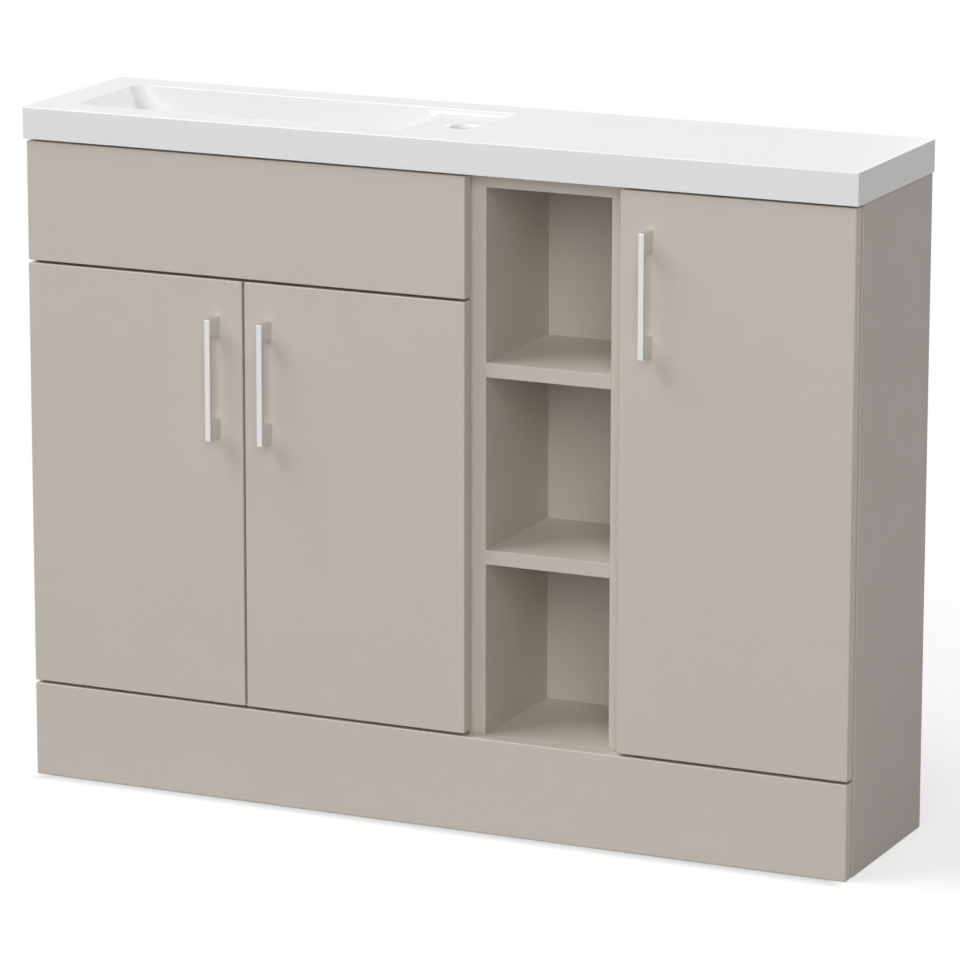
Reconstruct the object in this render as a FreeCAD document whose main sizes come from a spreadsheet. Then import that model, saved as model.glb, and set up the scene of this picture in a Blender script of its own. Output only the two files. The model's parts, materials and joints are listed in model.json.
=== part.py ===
import FreeCAD
import Part

import os
import re

# Driving sizes of the vanity unit, in millimetres.
SIZES = {
    # The three units side by side and the boards that they are made of.
    "vanity_width": 600,
    "open_unit_width": 200,
    "cupboard_width": 300,
    "carcass_height": 818,
    "panel_thickness": 18,
    "panel_edge_radius": 0.6,
    "service_void": 28,
    "front_rail_height": 70,
    "front_rail_drop": 16.5,
    "rear_rail_height": 100,
    "vanity_back_height": 480,
    "service_cutout_width": 260,
    "service_cutout_height": 220,
    "service_cutout_rise": 150,
    "vanity_wall_hole_spacing": 400,
    "cupboard_wall_hole_spacing": 160,
    "wall_hole_radius": 4,
    # The loose shelf of the cupboard and its pins.
    "loose_shelf_level": 450,
    "loose_shelf_end_gap": 1,
    "loose_shelf_setback": 20,
    "loose_shelf_back_gap": 3,
    "shelf_pin_radius": 2.5,
    "shelf_pin_depth": 8,
    "shelf_pin_edge_distance": 40,
    "seat_clearance": 0.05,
    # The worktop and its basin.
    "worktop_depth": 256,
    "worktop_thickness": 40,
    "worktop_edge_radius": 2,
    "worktop_end_overhang": 2.5,
    "worktop_front_overhang": 3.5,
    "worktop_skin": 12,
    "underside_margin": 30,
    "basin_rim": 45,
    "basin_end_margin": 27,
    "basin_edge_radius": 2.5,
    "bowl_depth": 95,
    "bowl_wall": 10,
    "bowl_left_draft": 120,
    "bowl_side_draft": 14,
    "bowl_right_draft": 60,
    "bowl_corner_radius": 20,
    "bowl_floor_radius": 18,
    "waste_hole_radius": 22.5,
    "deck_length": 96.5,
    "deck_depth": 8,
    "deck_corner_radius": 8,
    "deck_edge_radius": 4,
    "tap_hole_radius": 17.5,
    "tap_end_distance": 39.5,
    "tap_back_distance": 67,
    "tap_edge_radius": 1.5,
    # The doors, the fixed panel and the plinth.
    "front_thickness": 18,
    "front_edge_radius": 1.5,
    "front_side_reveal": 1,
    "front_gap": 3.5,
    "door_meeting_gap": 3,
    "worktop_gap": 3,
    "door_clearance": 2.5,
    "fixed_panel_height": 150,
    "plinth_height": 120,
    # The handles.
    "handle_length": 152,
    "handle_width": 7,
    "handle_bar_depth": 7,
    "handle_leg_height": 24,
    "handle_projection": 28,
    "handle_edge_radius": 0.6,
    "handle_top_distance": 45.5,
    "pair_handle_inset": 34,
    "cupboard_handle_inset": 39,
    "handle_screw_radius": 2,
    "handle_screw_reach": 10,
    "handle_screw_head_radius": 4,
    "handle_screw_head_height": 2,
    # The buffer pads on the backs of the doors.
    "pad_radius": 4,
    "pad_thickness": 2.2,
    "pad_end_distance": 30,
    "pad_edge_distance": 12,
    # The concealed hinges.
    "hinge_end_distance": 100,
    "cup_radius": 17.5,
    "cup_edge_distance": 3,
    "cup_depth": 12.5,
    "cup_wall": 2,
    "cup_floor": 0.8,
    "flange_height": 62,
    "flange_width": 18,
    "flange_offset": 3,
    "flange_thickness": 1.2,
    "cup_screw_spacing": 48,
    "pin_radius": 1.25,
    "pin_length": 18.4,
    "pin_set_in": 7,
    "pin_set_back": 9,
    "running_clearance": 0.05,
    "knuckle_radius": 2.2,
    "knuckle_height": 10,
    "notch_clearance": 0.4,
    "arm_thickness": 2,
    "arm_reach": 58,
    "channel_start": 6,
    "channel_wall": 1.2,
    "channel_clearance": 0.2,
    "plate_thickness": 3,
    "plate_wing_thickness": 1.2,
    "plate_wing_height": 48,
    "plate_wing_width": 16,
    "plate_ridge_height": 10,
    "plate_ridge_start": 10,
    "plate_set_back": 37,
    "plate_screw_spacing": 32,
    # The angle brackets.
    "bracket_leg": 25,
    "bracket_thickness": 2,
    "panel_bracket_height": 20,
    "panel_bracket_distance": 23,
    "plinth_bracket_height": 40,
    # The wood screws, the screws between units, the dowels and their holes.
    "screw_radius": 1.75,
    "screw_length": 15,
    "screw_head_radius": 3.5,
    "screw_head_height": 2,
    "connecting_screw_radius": 2,
    "connecting_screw_reach": 10,
    "connecting_screw_head_radius": 4,
    "connecting_screw_head_height": 2.5,
    "dowel_radius": 4,
    "dowel_in_side": 10,
    "dowel_in_board": 20,
    "fit_clearance": 0.1,
    "hole_spare": 0.5,
    "overrun": 5,
}

# Places worked out from the sizes: X to the right, Y to the back, Z up from the floor.
PLACES = {
    "worktop_width": "2 * worktop_end_overhang + vanity_width + open_unit_width + cupboard_width",
    "worktop_left": "-worktop_width / 2",
    "worktop_right": "worktop_width / 2",
    "vanity_left": "worktop_left + worktop_end_overhang",
    "vanity_right": "vanity_left + vanity_width",
    "open_right": "vanity_right + open_unit_width",
    "cupboard_right": "open_right + cupboard_width",
    "vanity_inner_left": "vanity_left + panel_thickness",
    "vanity_inner_right": "vanity_right - panel_thickness",
    "open_inner_left": "vanity_right + panel_thickness",
    "open_inner_right": "open_right - panel_thickness",
    "cupboard_inner_left": "open_right + panel_thickness",
    "cupboard_inner_right": "cupboard_right - panel_thickness",
    "back": "(worktop_depth - worktop_front_overhang + handle_projection) / 2",
    "worktop_front": "back - worktop_depth",
    "front_face": "worktop_front + worktop_front_overhang",
    "front_back": "front_face + front_thickness",
    "carcass_front": "front_back + door_clearance",
    "back_panel_rear": "back - service_void",
    "back_panel_face": "back_panel_rear - panel_thickness",
    "rear_rail_face": "back - panel_thickness",
    "worktop_top": "carcass_height + worktop_thickness",
    "door_bottom": "plinth_height + front_gap",
    "front_top": "carcass_height - worktop_gap",
    "fixed_panel_bottom": "front_top - fixed_panel_height",
    "pair_door_top": "fixed_panel_bottom - front_gap",
    "front_rail_bottom": "pair_door_top - front_rail_drop",
    "rear_rail_bottom": "carcass_height - rear_rail_height",
    "unit_floor": "plinth_height + panel_thickness",
    "open_floor_underside": "plinth_height - panel_thickness",
    "top_underside": "carcass_height - panel_thickness",
    "cell_height": "(top_underside - plinth_height - 2 * panel_thickness) / 3",
    "lower_shelf_underside": "plinth_height + cell_height",
    "lower_shelf_top": "lower_shelf_underside + panel_thickness",
    "upper_shelf_underside": "lower_shelf_top + cell_height",
    "upper_shelf_top": "upper_shelf_underside + panel_thickness",
    "loose_shelf_top": "loose_shelf_level + panel_thickness",
    "fronts_left": "vanity_left + front_side_reveal",
    "fronts_right": "cupboard_right - front_side_reveal",
    "pair_right": "vanity_right - front_side_reveal",
    "pair_door_width": "(pair_right - fronts_left - door_meeting_gap) / 2",
    "left_door_right": "fronts_left + pair_door_width",
    "right_door_left": "pair_right - pair_door_width",
    "cupboard_door_left": "open_right + front_side_reveal",
    "bowl_left": "worktop_left + basin_rim",
    "basin_right": "vanity_right - basin_end_margin",
    "bowl_right": "basin_right - deck_length",
    "basin_front": "worktop_front + basin_rim",
    "basin_back": "back - basin_rim",
    "bowl_bottom": "worktop_top - bowl_depth",
    "deck_level": "worktop_top - deck_depth",
    "tap_x": "basin_right - tap_end_distance",
    "tap_y": "basin_back - tap_back_distance",
    "waste_x": "(bowl_left + bowl_left_draft + bowl_right - bowl_right_draft) / 2",
    "waste_y": "(basin_front + basin_back) / 2",
    "cup_set_in": "cup_edge_distance + cup_radius",
    "side_set_in": "panel_thickness - front_side_reveal",
    "arm_set_in": "side_set_in + plate_thickness",
    "pin_y": "front_face + pin_set_back",
}

# Where two dowels or screws stand along a board, as shares of its length.
PAIR_SHARES = (0.2, 0.8)
CONNECTING_DEPTH_SHARE = 0.65
CONNECTING_HEIGHT_SHARES = (0.37, 0.74)
MIDDLE_SHARE = 0.5
BRACKET_SCREW_SHARE = 0.65

# Two places this near to each other, in millimetres, count as one.
SAME_PLACE = 0.001

doc = FreeCAD.newDocument("vanity_unit")
sizes = doc.addObject("Spreadsheet::Sheet", "Sizes")
places = doc.addObject("Spreadsheet::Sheet", "Places")


def formula(text):
    """Points each name in a formula at its cell."""
    def cell(word):
        name = word.group(0)
        return ("Sizes." if name in SIZES else "Places.") + name
    return re.sub(r"[a-z][a-z_]*", cell, text)


for row, (name, size) in enumerate(SIZES.items(), start=1):
    sizes.set(f"A{row}", name)
    sizes.set(f"B{row}", str(size))
    sizes.setAlias(f"B{row}", name)
for row, name in enumerate(PLACES, start=1):
    places.set(f"A{row}", name)
    places.setAlias(f"B{row}", name)
for row, text in enumerate(PLACES.values(), start=1):
    places.set(f"B{row}", "=" + formula(text))
doc.recompute()

nodes = {}
blanks = {}
cutters = {}


def bind(item, formulas):
    for target, text in formulas.items():
        item.setExpression(target, formula(text))


def box_formulas(spans):
    """Sizes and place of a block from its (start, end) spans along X, Y and Z."""
    formulas = {}
    for axis, side, (start, end) in zip("xyz", ("Length", "Width", "Height"), spans):
        formulas[side] = f"({end}) - ({start})"
        formulas[f"Placement.Base.{axis}"] = start
    return formulas


def block(name, *spans):
    item = doc.addObject("Part::Box", name)
    bind(item, box_formulas(spans))
    return item


TURNS = {
    "x": FreeCAD.Rotation(FreeCAD.Vector(0, 1, 0), 90),
    "y": FreeCAD.Rotation(FreeCAD.Vector(1, 0, 0), -90),
    "z": FreeCAD.Rotation(),
}


def rod(name, axis, span, across, radius):
    """A round bar along one axis; across holds its centre on the two other axes."""
    item = doc.addObject("Part::Cylinder", name)
    item.Placement = FreeCAD.Placement(FreeCAD.Vector(), TURNS[axis])
    start, end = span
    centre = list(across)
    centre.insert("xyz".index(axis), start)
    bind(item, {"Radius": radius, "Height": f"({end}) - ({start})"})
    bind(item, {f"Placement.Base.{letter}": text for letter, text in zip("xyz", centre)})
    return item


def reach(origin, way, near, far):
    """The span from near to far of an origin, to its right (1) or left (-1)."""
    if way > 0:
        return f"{origin} + ({near})", f"{origin} + ({far})"
    return f"{origin} - ({far})", f"{origin} - ({near})"


def along(origin, way, distance):
    return f"{origin} + {way} * ({distance})"


def around(middle, length):
    return f"{middle} - ({length}) / 2", f"{middle} + ({length}) / 2"


def share_of(span, share):
    start, end = span
    return f"({start}) + (({end}) - ({start})) * {share}"


def fused(name, parts):
    item = doc.addObject("Part::MultiFuse", name)
    item.Shapes = parts
    item.Refine = True
    return item


def carved(name, base, tools):
    """A base with all its cutting tools taken away."""
    item = doc.addObject("Part::Cut", name)
    item.Base = base
    item.Tool = tools[0] if len(tools) == 1 else fused(name + "_tools", tools)
    return item


def grouped(node, solids):
    item = doc.addObject("Part::Compound", node)
    item.Links = solids
    nodes[node] = item


def cut_from(tool, *boards):
    for board in boards:
        cutters.setdefault(board, []).append(tool)


def rounded(body, name, base, edges, radius):
    item = body.newObject("PartDesign::Fillet", name)
    item.Base = (base, edges)
    item.UseAllEdges = not edges
    bind(item, {"Radius": radius})
    doc.recompute()
    return item


def edges_where(shape, test):
    return [f"Edge{index}" for index, edge in enumerate(shape.Edges, start=1) if test(edge)]


def at_level(edge, level):
    return all(abs(vertex.Point.z - level) < SAME_PLACE for vertex in edge.Vertexes)


def rounded_block(name, spans, radius, front_only=False):
    """A board with all its edges rounded, or only the two long ones at its front."""
    body = doc.addObject("PartDesign::Body", name)
    blank = body.newObject("PartDesign::AdditiveBox", name + "_board")
    bind(blank, box_formulas(spans))
    doc.recompute()
    front = min(vertex.Point.y for vertex in blank.Shape.Vertexes)
    longest = max(blank.Length.Value, blank.Height.Value)

    def front_long(edge):
        in_front = all(abs(vertex.Point.y - front) < SAME_PLACE for vertex in edge.Vertexes)
        return in_front and abs(edge.Length - longest) < SAME_PLACE

    chosen = edges_where(blank.Shape, front_long) if front_only else []
    rounded(body, name + "_round", blank, chosen, radius)
    return body


# Boards of the three units, as spans along X, Y and Z.
SIDE_DEPTH = ("carcass_front", "back")
SIDE_HEIGHT = ("0", "carcass_height")
INNER_DEPTH = ("carcass_front", "back_panel_face")
BACK_DEPTH = ("back_panel_face", "back_panel_rear")
RAIL_DEPTH = ("rear_rail_face", "back")
VANITY_INSIDE = ("vanity_inner_left", "vanity_inner_right")
OPEN_INSIDE = ("open_inner_left", "open_inner_right")
CUPBOARD_INSIDE = ("cupboard_inner_left", "cupboard_inner_right")
REAR_RAIL_HEIGHT = ("rear_rail_bottom", "carcass_height")
ROUNDED_BOARDS = {
    "vanity_left_side": (("vanity_left", "vanity_inner_left"), SIDE_DEPTH, SIDE_HEIGHT),
    "vanity_right_side": (("vanity_inner_right", "vanity_right"), SIDE_DEPTH, SIDE_HEIGHT),
    "vanity_bottom": (VANITY_INSIDE, INNER_DEPTH, ("plinth_height", "unit_floor")),
    "open_left_side": (("vanity_right", "open_inner_left"), SIDE_DEPTH, SIDE_HEIGHT),
    "open_right_side": (("open_inner_right", "open_right"), SIDE_DEPTH, SIDE_HEIGHT),
    "open_top": (OPEN_INSIDE, INNER_DEPTH, ("top_underside", "carcass_height")),
    "open_upper_shelf": (OPEN_INSIDE, INNER_DEPTH, ("upper_shelf_underside", "upper_shelf_top")),
    "open_lower_shelf": (OPEN_INSIDE, INNER_DEPTH, ("lower_shelf_underside", "lower_shelf_top")),
    "open_bottom": (OPEN_INSIDE, INNER_DEPTH, ("open_floor_underside", "plinth_height")),
    "cupboard_left_side": (("open_right", "cupboard_inner_left"), SIDE_DEPTH, SIDE_HEIGHT),
    "cupboard_right_side": (("cupboard_inner_right", "cupboard_right"), SIDE_DEPTH, SIDE_HEIGHT),
    "cupboard_top": (CUPBOARD_INSIDE, INNER_DEPTH, ("top_underside", "carcass_height")),
    "cupboard_bottom": (CUPBOARD_INSIDE, INNER_DEPTH, ("plinth_height", "unit_floor")),
    "cupboard_shelf": (
        ("cupboard_inner_left + loose_shelf_end_gap", "cupboard_inner_right - loose_shelf_end_gap"),
        ("carcass_front + loose_shelf_setback", "back_panel_face - loose_shelf_back_gap"),
        ("loose_shelf_level", "loose_shelf_top"),
    ),
}
PLAIN_BOARDS = {
    "vanity_front_rail": (
        VANITY_INSIDE,
        ("carcass_front", "carcass_front + panel_thickness"),
        ("front_rail_bottom", "front_rail_bottom + front_rail_height"),
    ),
    "vanity_rear_rail": (VANITY_INSIDE, RAIL_DEPTH, REAR_RAIL_HEIGHT),
    "vanity_back": (VANITY_INSIDE, BACK_DEPTH, ("plinth_height", "plinth_height + vanity_back_height")),
    "open_back": (OPEN_INSIDE, BACK_DEPTH, ("open_floor_underside", "carcass_height")),
    "cupboard_back": (CUPBOARD_INSIDE, BACK_DEPTH, ("plinth_height", "carcass_height")),
    "cupboard_rear_rail": (CUPBOARD_INSIDE, RAIL_DEPTH, REAR_RAIL_HEIGHT),
}
BOARDS = {**ROUNDED_BOARDS, **PLAIN_BOARDS}

# Doors, fixed panel and plinth, in the plane in front of the carcasses.
FRONT_DEPTH = ("front_face", "front_back")
FRONTS = {
    "left_door": (("fronts_left", "left_door_right"), FRONT_DEPTH, ("door_bottom", "pair_door_top")),
    "right_door": (("right_door_left", "pair_right"), FRONT_DEPTH, ("door_bottom", "pair_door_top")),
    "cupboard_door": (("cupboard_door_left", "fronts_right"), FRONT_DEPTH, ("door_bottom", "front_top")),
    "fixed_front_panel": (("fronts_left", "pair_right"), FRONT_DEPTH, ("fixed_panel_bottom", "front_top")),
    "plinth": (("fronts_left", "fronts_right"), FRONT_DEPTH, ("0", "plinth_height")),
}


def make_boards():
    for node, spans in ROUNDED_BOARDS.items():
        blanks[node] = rounded_block(node + "_blank", spans, "panel_edge_radius", front_only=True)
    for node, spans in PLAIN_BOARDS.items():
        blanks[node] = block(node + "_blank", *spans)
    for node, spans in FRONTS.items():
        blanks[node] = rounded_block(node + "_blank", spans, "front_edge_radius")


def cut_service_openings():
    """The pipe opening in the low back and the wall holes in the rear rails."""
    rise = "plinth_height + service_cutout_rise"
    opening = block(
        "service_opening",
        around("(vanity_left + vanity_right) / 2", "service_cutout_width"),
        ("back_panel_face - overrun", "back_panel_rear + overrun"),
        (rise, f"{rise} + service_cutout_height"),
    )
    cut_from(opening, "vanity_back")
    rails = {
        "vanity_rear_rail": ("(vanity_left + vanity_right) / 2", "vanity_wall_hole_spacing"),
        "cupboard_rear_rail": ("(open_right + cupboard_right) / 2", "cupboard_wall_hole_spacing"),
    }
    for rail, (middle, spacing) in rails.items():
        for number, x in enumerate(around(middle, spacing)):
            span = ("rear_rail_face - overrun", "back + overrun")
            centre = (x, share_of(REAR_RAIL_HEIGHT, MIDDLE_SHARE))
            cut_from(rod(f"{rail}_hole_{number}", "y", span, centre, "wall_hole_radius"), rail)


def make_dowels():
    """Two dowels in each end of every board that is fixed between two sides."""
    unit_boards = {
        "vanity": {"bottom": "y", "front_rail": "z", "rear_rail": "z", "back": "z"},
        "open": {"top": "y", "upper_shelf": "y", "lower_shelf": "y", "bottom": "y", "back": "z"},
        "cupboard": {"top": "y", "bottom": "y", "back": "z", "rear_rail": "z"},
    }
    dowels = []
    for unit, boards in unit_boards.items():
        for board, spread in boards.items():
            node = f"{unit}_{board}"
            (left, right), depth, height = BOARDS[node]
            for side, end, way in (("left", left, 1), ("right", right, -1)):
                for share in PAIR_SHARES:
                    centre = [share_of(depth, share if spread == "y" else MIDDLE_SHARE)]
                    centre.append(share_of(height, share if spread == "z" else MIDDLE_SHARE))
                    name = f"dowel_{len(dowels)}"
                    span = reach(end, way, "-dowel_in_side", "dowel_in_board")
                    dowels.append(rod(name, "x", span, centre, "dowel_radius"))
                    span = reach(end, way, "-dowel_in_side - hole_spare", "dowel_in_board + hole_spare")
                    hole = rod(name + "_hole", "x", span, centre, "dowel_radius + fit_clearance")
                    cut_from(hole, node, f"{unit}_{side}_side")
    grouped("carcass_dowels", dowels)


def make_screw(name, kind, axis, seat, way, across, length):
    """A screw driven from its seat in the given way, and the hole that it needs."""
    shank = rod(name + "_shank", axis, reach(seat, way, "0", length), across, f"{kind}_radius")
    head_span = reach(seat, way, f"-{kind}_head_height", "0")
    head = rod(name + "_head", axis, head_span, across, f"{kind}_head_radius")
    hole_span = reach(seat, way, "0", f"{length} + hole_spare")
    hole = rod(name + "_hole", axis, hole_span, across, f"{kind}_radius + fit_clearance")
    return fused(name, [shank, head]), hole


def make_connecting_screws():
    """Screws from inside the closed units into the sides of the open unit."""
    joints = (
        ("vanity_inner_right", 1, "vanity_right_side", "open_left_side"),
        ("cupboard_inner_left", -1, "cupboard_left_side", "open_right_side"),
    )
    screws = []
    length = "panel_thickness + connecting_screw_reach"
    for seat, way, near_side, far_side in joints:
        for share in CONNECTING_HEIGHT_SHARES:
            centre = (share_of(SIDE_DEPTH, CONNECTING_DEPTH_SHARE), share_of(SIDE_HEIGHT, share))
            name = f"connecting_screw_{len(screws)}"
            screw, hole = make_screw(name, "connecting_screw", "x", seat, way, centre, length)
            screws.append(screw)
            cut_from(hole, near_side, far_side)
    grouped("unit_connecting_screws", screws)


def make_bracket(name, face, way, side, front, height, screws):
    """An angle bracket between the inner face of a side and the back of a front board."""
    side_leg = block(
        name + "_side_leg",
        reach(face, way, "0", "bracket_thickness"),
        ("front_back", "front_back + bracket_leg"),
        height,
    )
    front_leg = block(
        name + "_front_leg",
        reach(face, way, "0", "bracket_leg"),
        ("front_back", "front_back + bracket_thickness"),
        height,
    )
    reach_in = f"bracket_leg * {BRACKET_SCREW_SHARE}"
    level = share_of(height, MIDDLE_SHARE)
    side_screw, side_hole = make_screw(
        name + "_side_screw", "screw", "x", along(face, way, "bracket_thickness"), -way,
        (f"front_back + {reach_in}", level), "screw_length",
    )
    front_screw, front_hole = make_screw(
        name + "_front_screw", "screw", "y", "front_back + bracket_thickness", -1,
        (along(face, way, reach_in), level), "screw_length",
    )
    cut_from(side_hole, side)
    cut_from(front_hole, front)
    screws += [side_screw, front_screw]
    return carved(name, fused(name + "_blank", [side_leg, front_leg]), [side_hole, front_hole])


def make_brackets():
    vanity_sides = (
        ("vanity_inner_left", 1, "vanity_left_side"),
        ("vanity_inner_right", -1, "vanity_right_side"),
    )
    cupboard_sides = (
        ("cupboard_inner_left", 1, "cupboard_left_side"),
        ("cupboard_inner_right", -1, "cupboard_right_side"),
    )
    screws = []
    panel_brackets = []
    for face, way, side in vanity_sides:
        low = "front_rail_bottom + front_rail_height + panel_bracket_distance"
        for level in (low, "front_top - panel_bracket_distance"):
            height = around(level, "panel_bracket_height")
            name = f"panel_bracket_{len(panel_brackets)}"
            panel_brackets.append(make_bracket(name, face, way, side, "fixed_front_panel", height, screws))
    grouped("fixed_panel_brackets", panel_brackets)
    plinth_brackets = []
    for face, way, side in vanity_sides + cupboard_sides:
        height = around(f"plinth_height * {MIDDLE_SHARE}", "plinth_bracket_height")
        name = f"plinth_bracket_{len(plinth_brackets)}"
        plinth_brackets.append(make_bracket(name, face, way, side, "plinth", height, screws))
    grouped("plinth_brackets", plinth_brackets)
    grouped("bracket_screws", screws)


def make_shelf_pins():
    pins = []
    level = "loose_shelf_level - shelf_pin_radius - seat_clearance"
    sides = (("cupboard_inner_left", "cupboard_left_side"), ("cupboard_inner_right", "cupboard_right_side"))
    for face, side in sides:
        for y in ("carcass_front + shelf_pin_edge_distance", "back_panel_face - shelf_pin_edge_distance"):
            name = f"shelf_pin_{len(pins)}"
            pins.append(rod(name, "x", around(face, "2 * shelf_pin_depth"), (y, level), "shelf_pin_radius"))
            span = around(face, "2 * shelf_pin_depth + 2 * hole_spare")
            cut_from(rod(name + "_hole", "x", span, (y, level), "shelf_pin_radius + fit_clearance"), side)
    grouped("shelf_pins", pins)


def tapered_block(name, lower, upper, levels):
    """A block that widens from its lower rectangle to its upper one."""
    body = doc.addObject("PartDesign::Body", name)
    wedge = body.newObject("PartDesign::AdditiveWedge", name + "_wedge")
    wedge.Placement = FreeCAD.Placement(FreeCAD.Vector(), FreeCAD.Rotation(FreeCAD.Vector(1, 0, 0), 90))
    (left, right), (front, rear) = lower
    (top_left, top_right), (top_front, top_rear) = upper
    low, high = levels
    bind(wedge, {"Ymin": "0", "Ymax": f"({high}) - ({low})", "Placement.Base.z": low})
    bind(wedge, {"Xmin": left, "Xmax": right, "Zmin": f"-({rear})", "Zmax": f"-({front})"})
    bind(wedge, {"X2min": top_left, "X2max": top_right})
    bind(wedge, {"Z2min": f"-({top_rear})", "Z2max": f"-({top_front})"})
    doc.recompute()
    return body, wedge


def upright(edge):
    first, last = edge.Vertexes
    return abs(first.Point.z - last.Point.z) > SAME_PLACE


def bowl_form(name, offset, level, top, corner_radius, floor_radius):
    """The bowl grown by an offset, from a floor level up to a height above or below the rim."""
    rise = f"(({top}) - bowl_bottom) / bowl_depth"
    left = f"bowl_left - ({offset}) + bowl_left_draft"
    right = f"bowl_right + ({offset}) - bowl_right_draft"
    front = f"basin_front - ({offset}) + bowl_side_draft"
    rear = f"basin_back + ({offset}) - bowl_side_draft"
    lower = ((left, right), (front, rear))
    upper = (
        (f"{left} - bowl_left_draft * {rise}", f"{right} + bowl_right_draft * {rise}"),
        (f"{front} - bowl_side_draft * {rise}", f"{rear} + bowl_side_draft * {rise}"),
    )
    body, wedge = tapered_block(name, lower, upper, (level, top))
    corners = rounded(body, name + "_corners", wedge, edges_where(wedge.Shape, upright), corner_radius)
    floor_level = min(vertex.Point.z for vertex in corners.Shape.Vertexes)
    floor_edges = edges_where(corners.Shape, lambda edge: at_level(edge, floor_level))
    rounded(body, name + "_floor", corners, floor_edges, floor_radius)
    return body


def deck_form():
    """The shallow recess that holds the tap, level with the walls of the bowl."""
    left = "bowl_right - bowl_right_draft"
    inward = "bowl_side_draft * deck_depth / bowl_depth"
    outward = "bowl_side_draft * overrun / bowl_depth"
    lower = ((left, f"basin_right - {inward}"), (f"basin_front + {inward}", f"basin_back - {inward}"))
    upper = ((left, f"basin_right + {outward}"), (f"basin_front - {outward}", f"basin_back + {outward}"))
    body, wedge = tapered_block("deck_form", lower, upper, ("deck_level", "worktop_top + overrun"))
    middle = wedge.Shape.BoundBox.Center.x

    def right_corner(edge):
        return upright(edge) and edge.CenterOfMass.x > middle

    rounded(body, "deck_corners", wedge, edges_where(wedge.Shape, right_corner), "deck_corner_radius")
    return body


def make_worktop():
    """The cast worktop: a slab with a basin in it, hollow under its flat end."""
    spans = (("worktop_left", "worktop_right"), ("worktop_front", "back"), ("carcass_height", "worktop_top"))
    slab = rounded_block("worktop_slab", spans, "worktop_edge_radius")
    bowl = bowl_form(
        "bowl_form", "0", "bowl_bottom", "worktop_top + overrun", "bowl_corner_radius", "bowl_floor_radius"
    )
    shell = bowl_form(
        "bowl_shell", "bowl_wall", "bowl_bottom - bowl_wall", "carcass_height + worktop_skin",
        "bowl_corner_radius + bowl_wall", "bowl_floor_radius + bowl_wall",
    )
    tap_span = ("carcass_height - overrun", "worktop_top")
    tap_hole = rod("tap_hole", "z", tap_span, ("tap_x", "tap_y"), "tap_hole_radius")
    waste_span = ("bowl_bottom - bowl_wall - overrun", "bowl_bottom + overrun")
    waste_hole = rod("waste_hole", "z", waste_span, ("waste_x", "waste_y"), "waste_hole_radius")
    tools = [bowl, deck_form(), tap_hole, waste_hole]
    flat_ends = (("open", "vanity_right", "open_right"), ("cupboard", "open_right", "cupboard_right"))
    for unit, left, right in flat_ends:
        hollow = block(
            f"{unit}_underside_hollow",
            (f"{left} + underside_margin", f"{right} - underside_margin"),
            ("worktop_front + underside_margin", "back - underside_margin"),
            ("carcass_height - overrun", "worktop_top - worktop_skin"),
        )
        tools.append(hollow)
    casting = carved("worktop_casting", fused("worktop_blank", [slab, shell]), tools)
    doc.recompute()
    nodes["worktop_basin"] = soften_basin(casting)


def soften_basin(casting):
    """Rounds the rim of the basin, the edge between deck and bowl, and the tap hole."""
    top, deck, bowl_right = (places.get(name) for name in ("worktop_top", "deck_level", "bowl_right"))
    left, right = places.get("bowl_left"), places.get("basin_right")
    front, rear = places.get("basin_front"), places.get("basin_back")
    rim_radius = sizes.get("basin_edge_radius")
    tap_radius = sizes.get("tap_edge_radius")
    deck_radius = sizes.get("deck_edge_radius")

    def in_basin(point):
        in_length = left - SAME_PLACE < point.x < right + SAME_PLACE
        return in_length and front - SAME_PLACE < point.y < rear + SAME_PLACE

    chosen = []
    for index, edge in enumerate(casting.Shape.Edges, start=1):
        if at_level(edge, top) and in_basin(edge.CenterOfMass):
            chosen.append((index, rim_radius, rim_radius))
        elif at_level(edge, deck) and edge.isClosed():
            chosen.append((index, tap_radius, tap_radius))
        elif at_level(edge, deck) and edge.CenterOfMass.x < bowl_right:
            chosen.append((index, deck_radius, deck_radius))
    item = doc.addObject("Part::Fillet", "worktop_basin")
    item.Base = casting
    item.Edges = chosen
    return item


# Each door: its hinge edge, the way from that edge to its other edge, the side that
# carries it, its top, its handle's place and the places of its pads.
DOORS = {
    "left_door": {
        "edge": "fronts_left", "way": 1, "side": "vanity_left_side", "top": "pair_door_top",
        "handle_x": "left_door_right - pair_handle_inset",
        "pad_x": "left_door_right - pad_edge_distance",
        "pad_levels": ("(plinth_height + unit_floor) / 2", "(front_rail_bottom + pair_door_top) / 2"),
    },
    "right_door": {
        "edge": "pair_right", "way": -1, "side": "vanity_right_side", "top": "pair_door_top",
        "handle_x": "right_door_left + pair_handle_inset",
        "pad_x": "right_door_left + pad_edge_distance",
        "pad_levels": ("(plinth_height + unit_floor) / 2", "(front_rail_bottom + pair_door_top) / 2"),
    },
    "cupboard_door": {
        "edge": "fronts_right", "way": -1, "side": "cupboard_right_side", "top": "front_top",
        "handle_x": "cupboard_door_left + cupboard_handle_inset",
        "pad_x": "open_right + panel_thickness / 2",
        "pad_levels": ("door_bottom + pad_end_distance", "front_top - pad_end_distance"),
    },
}


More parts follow.
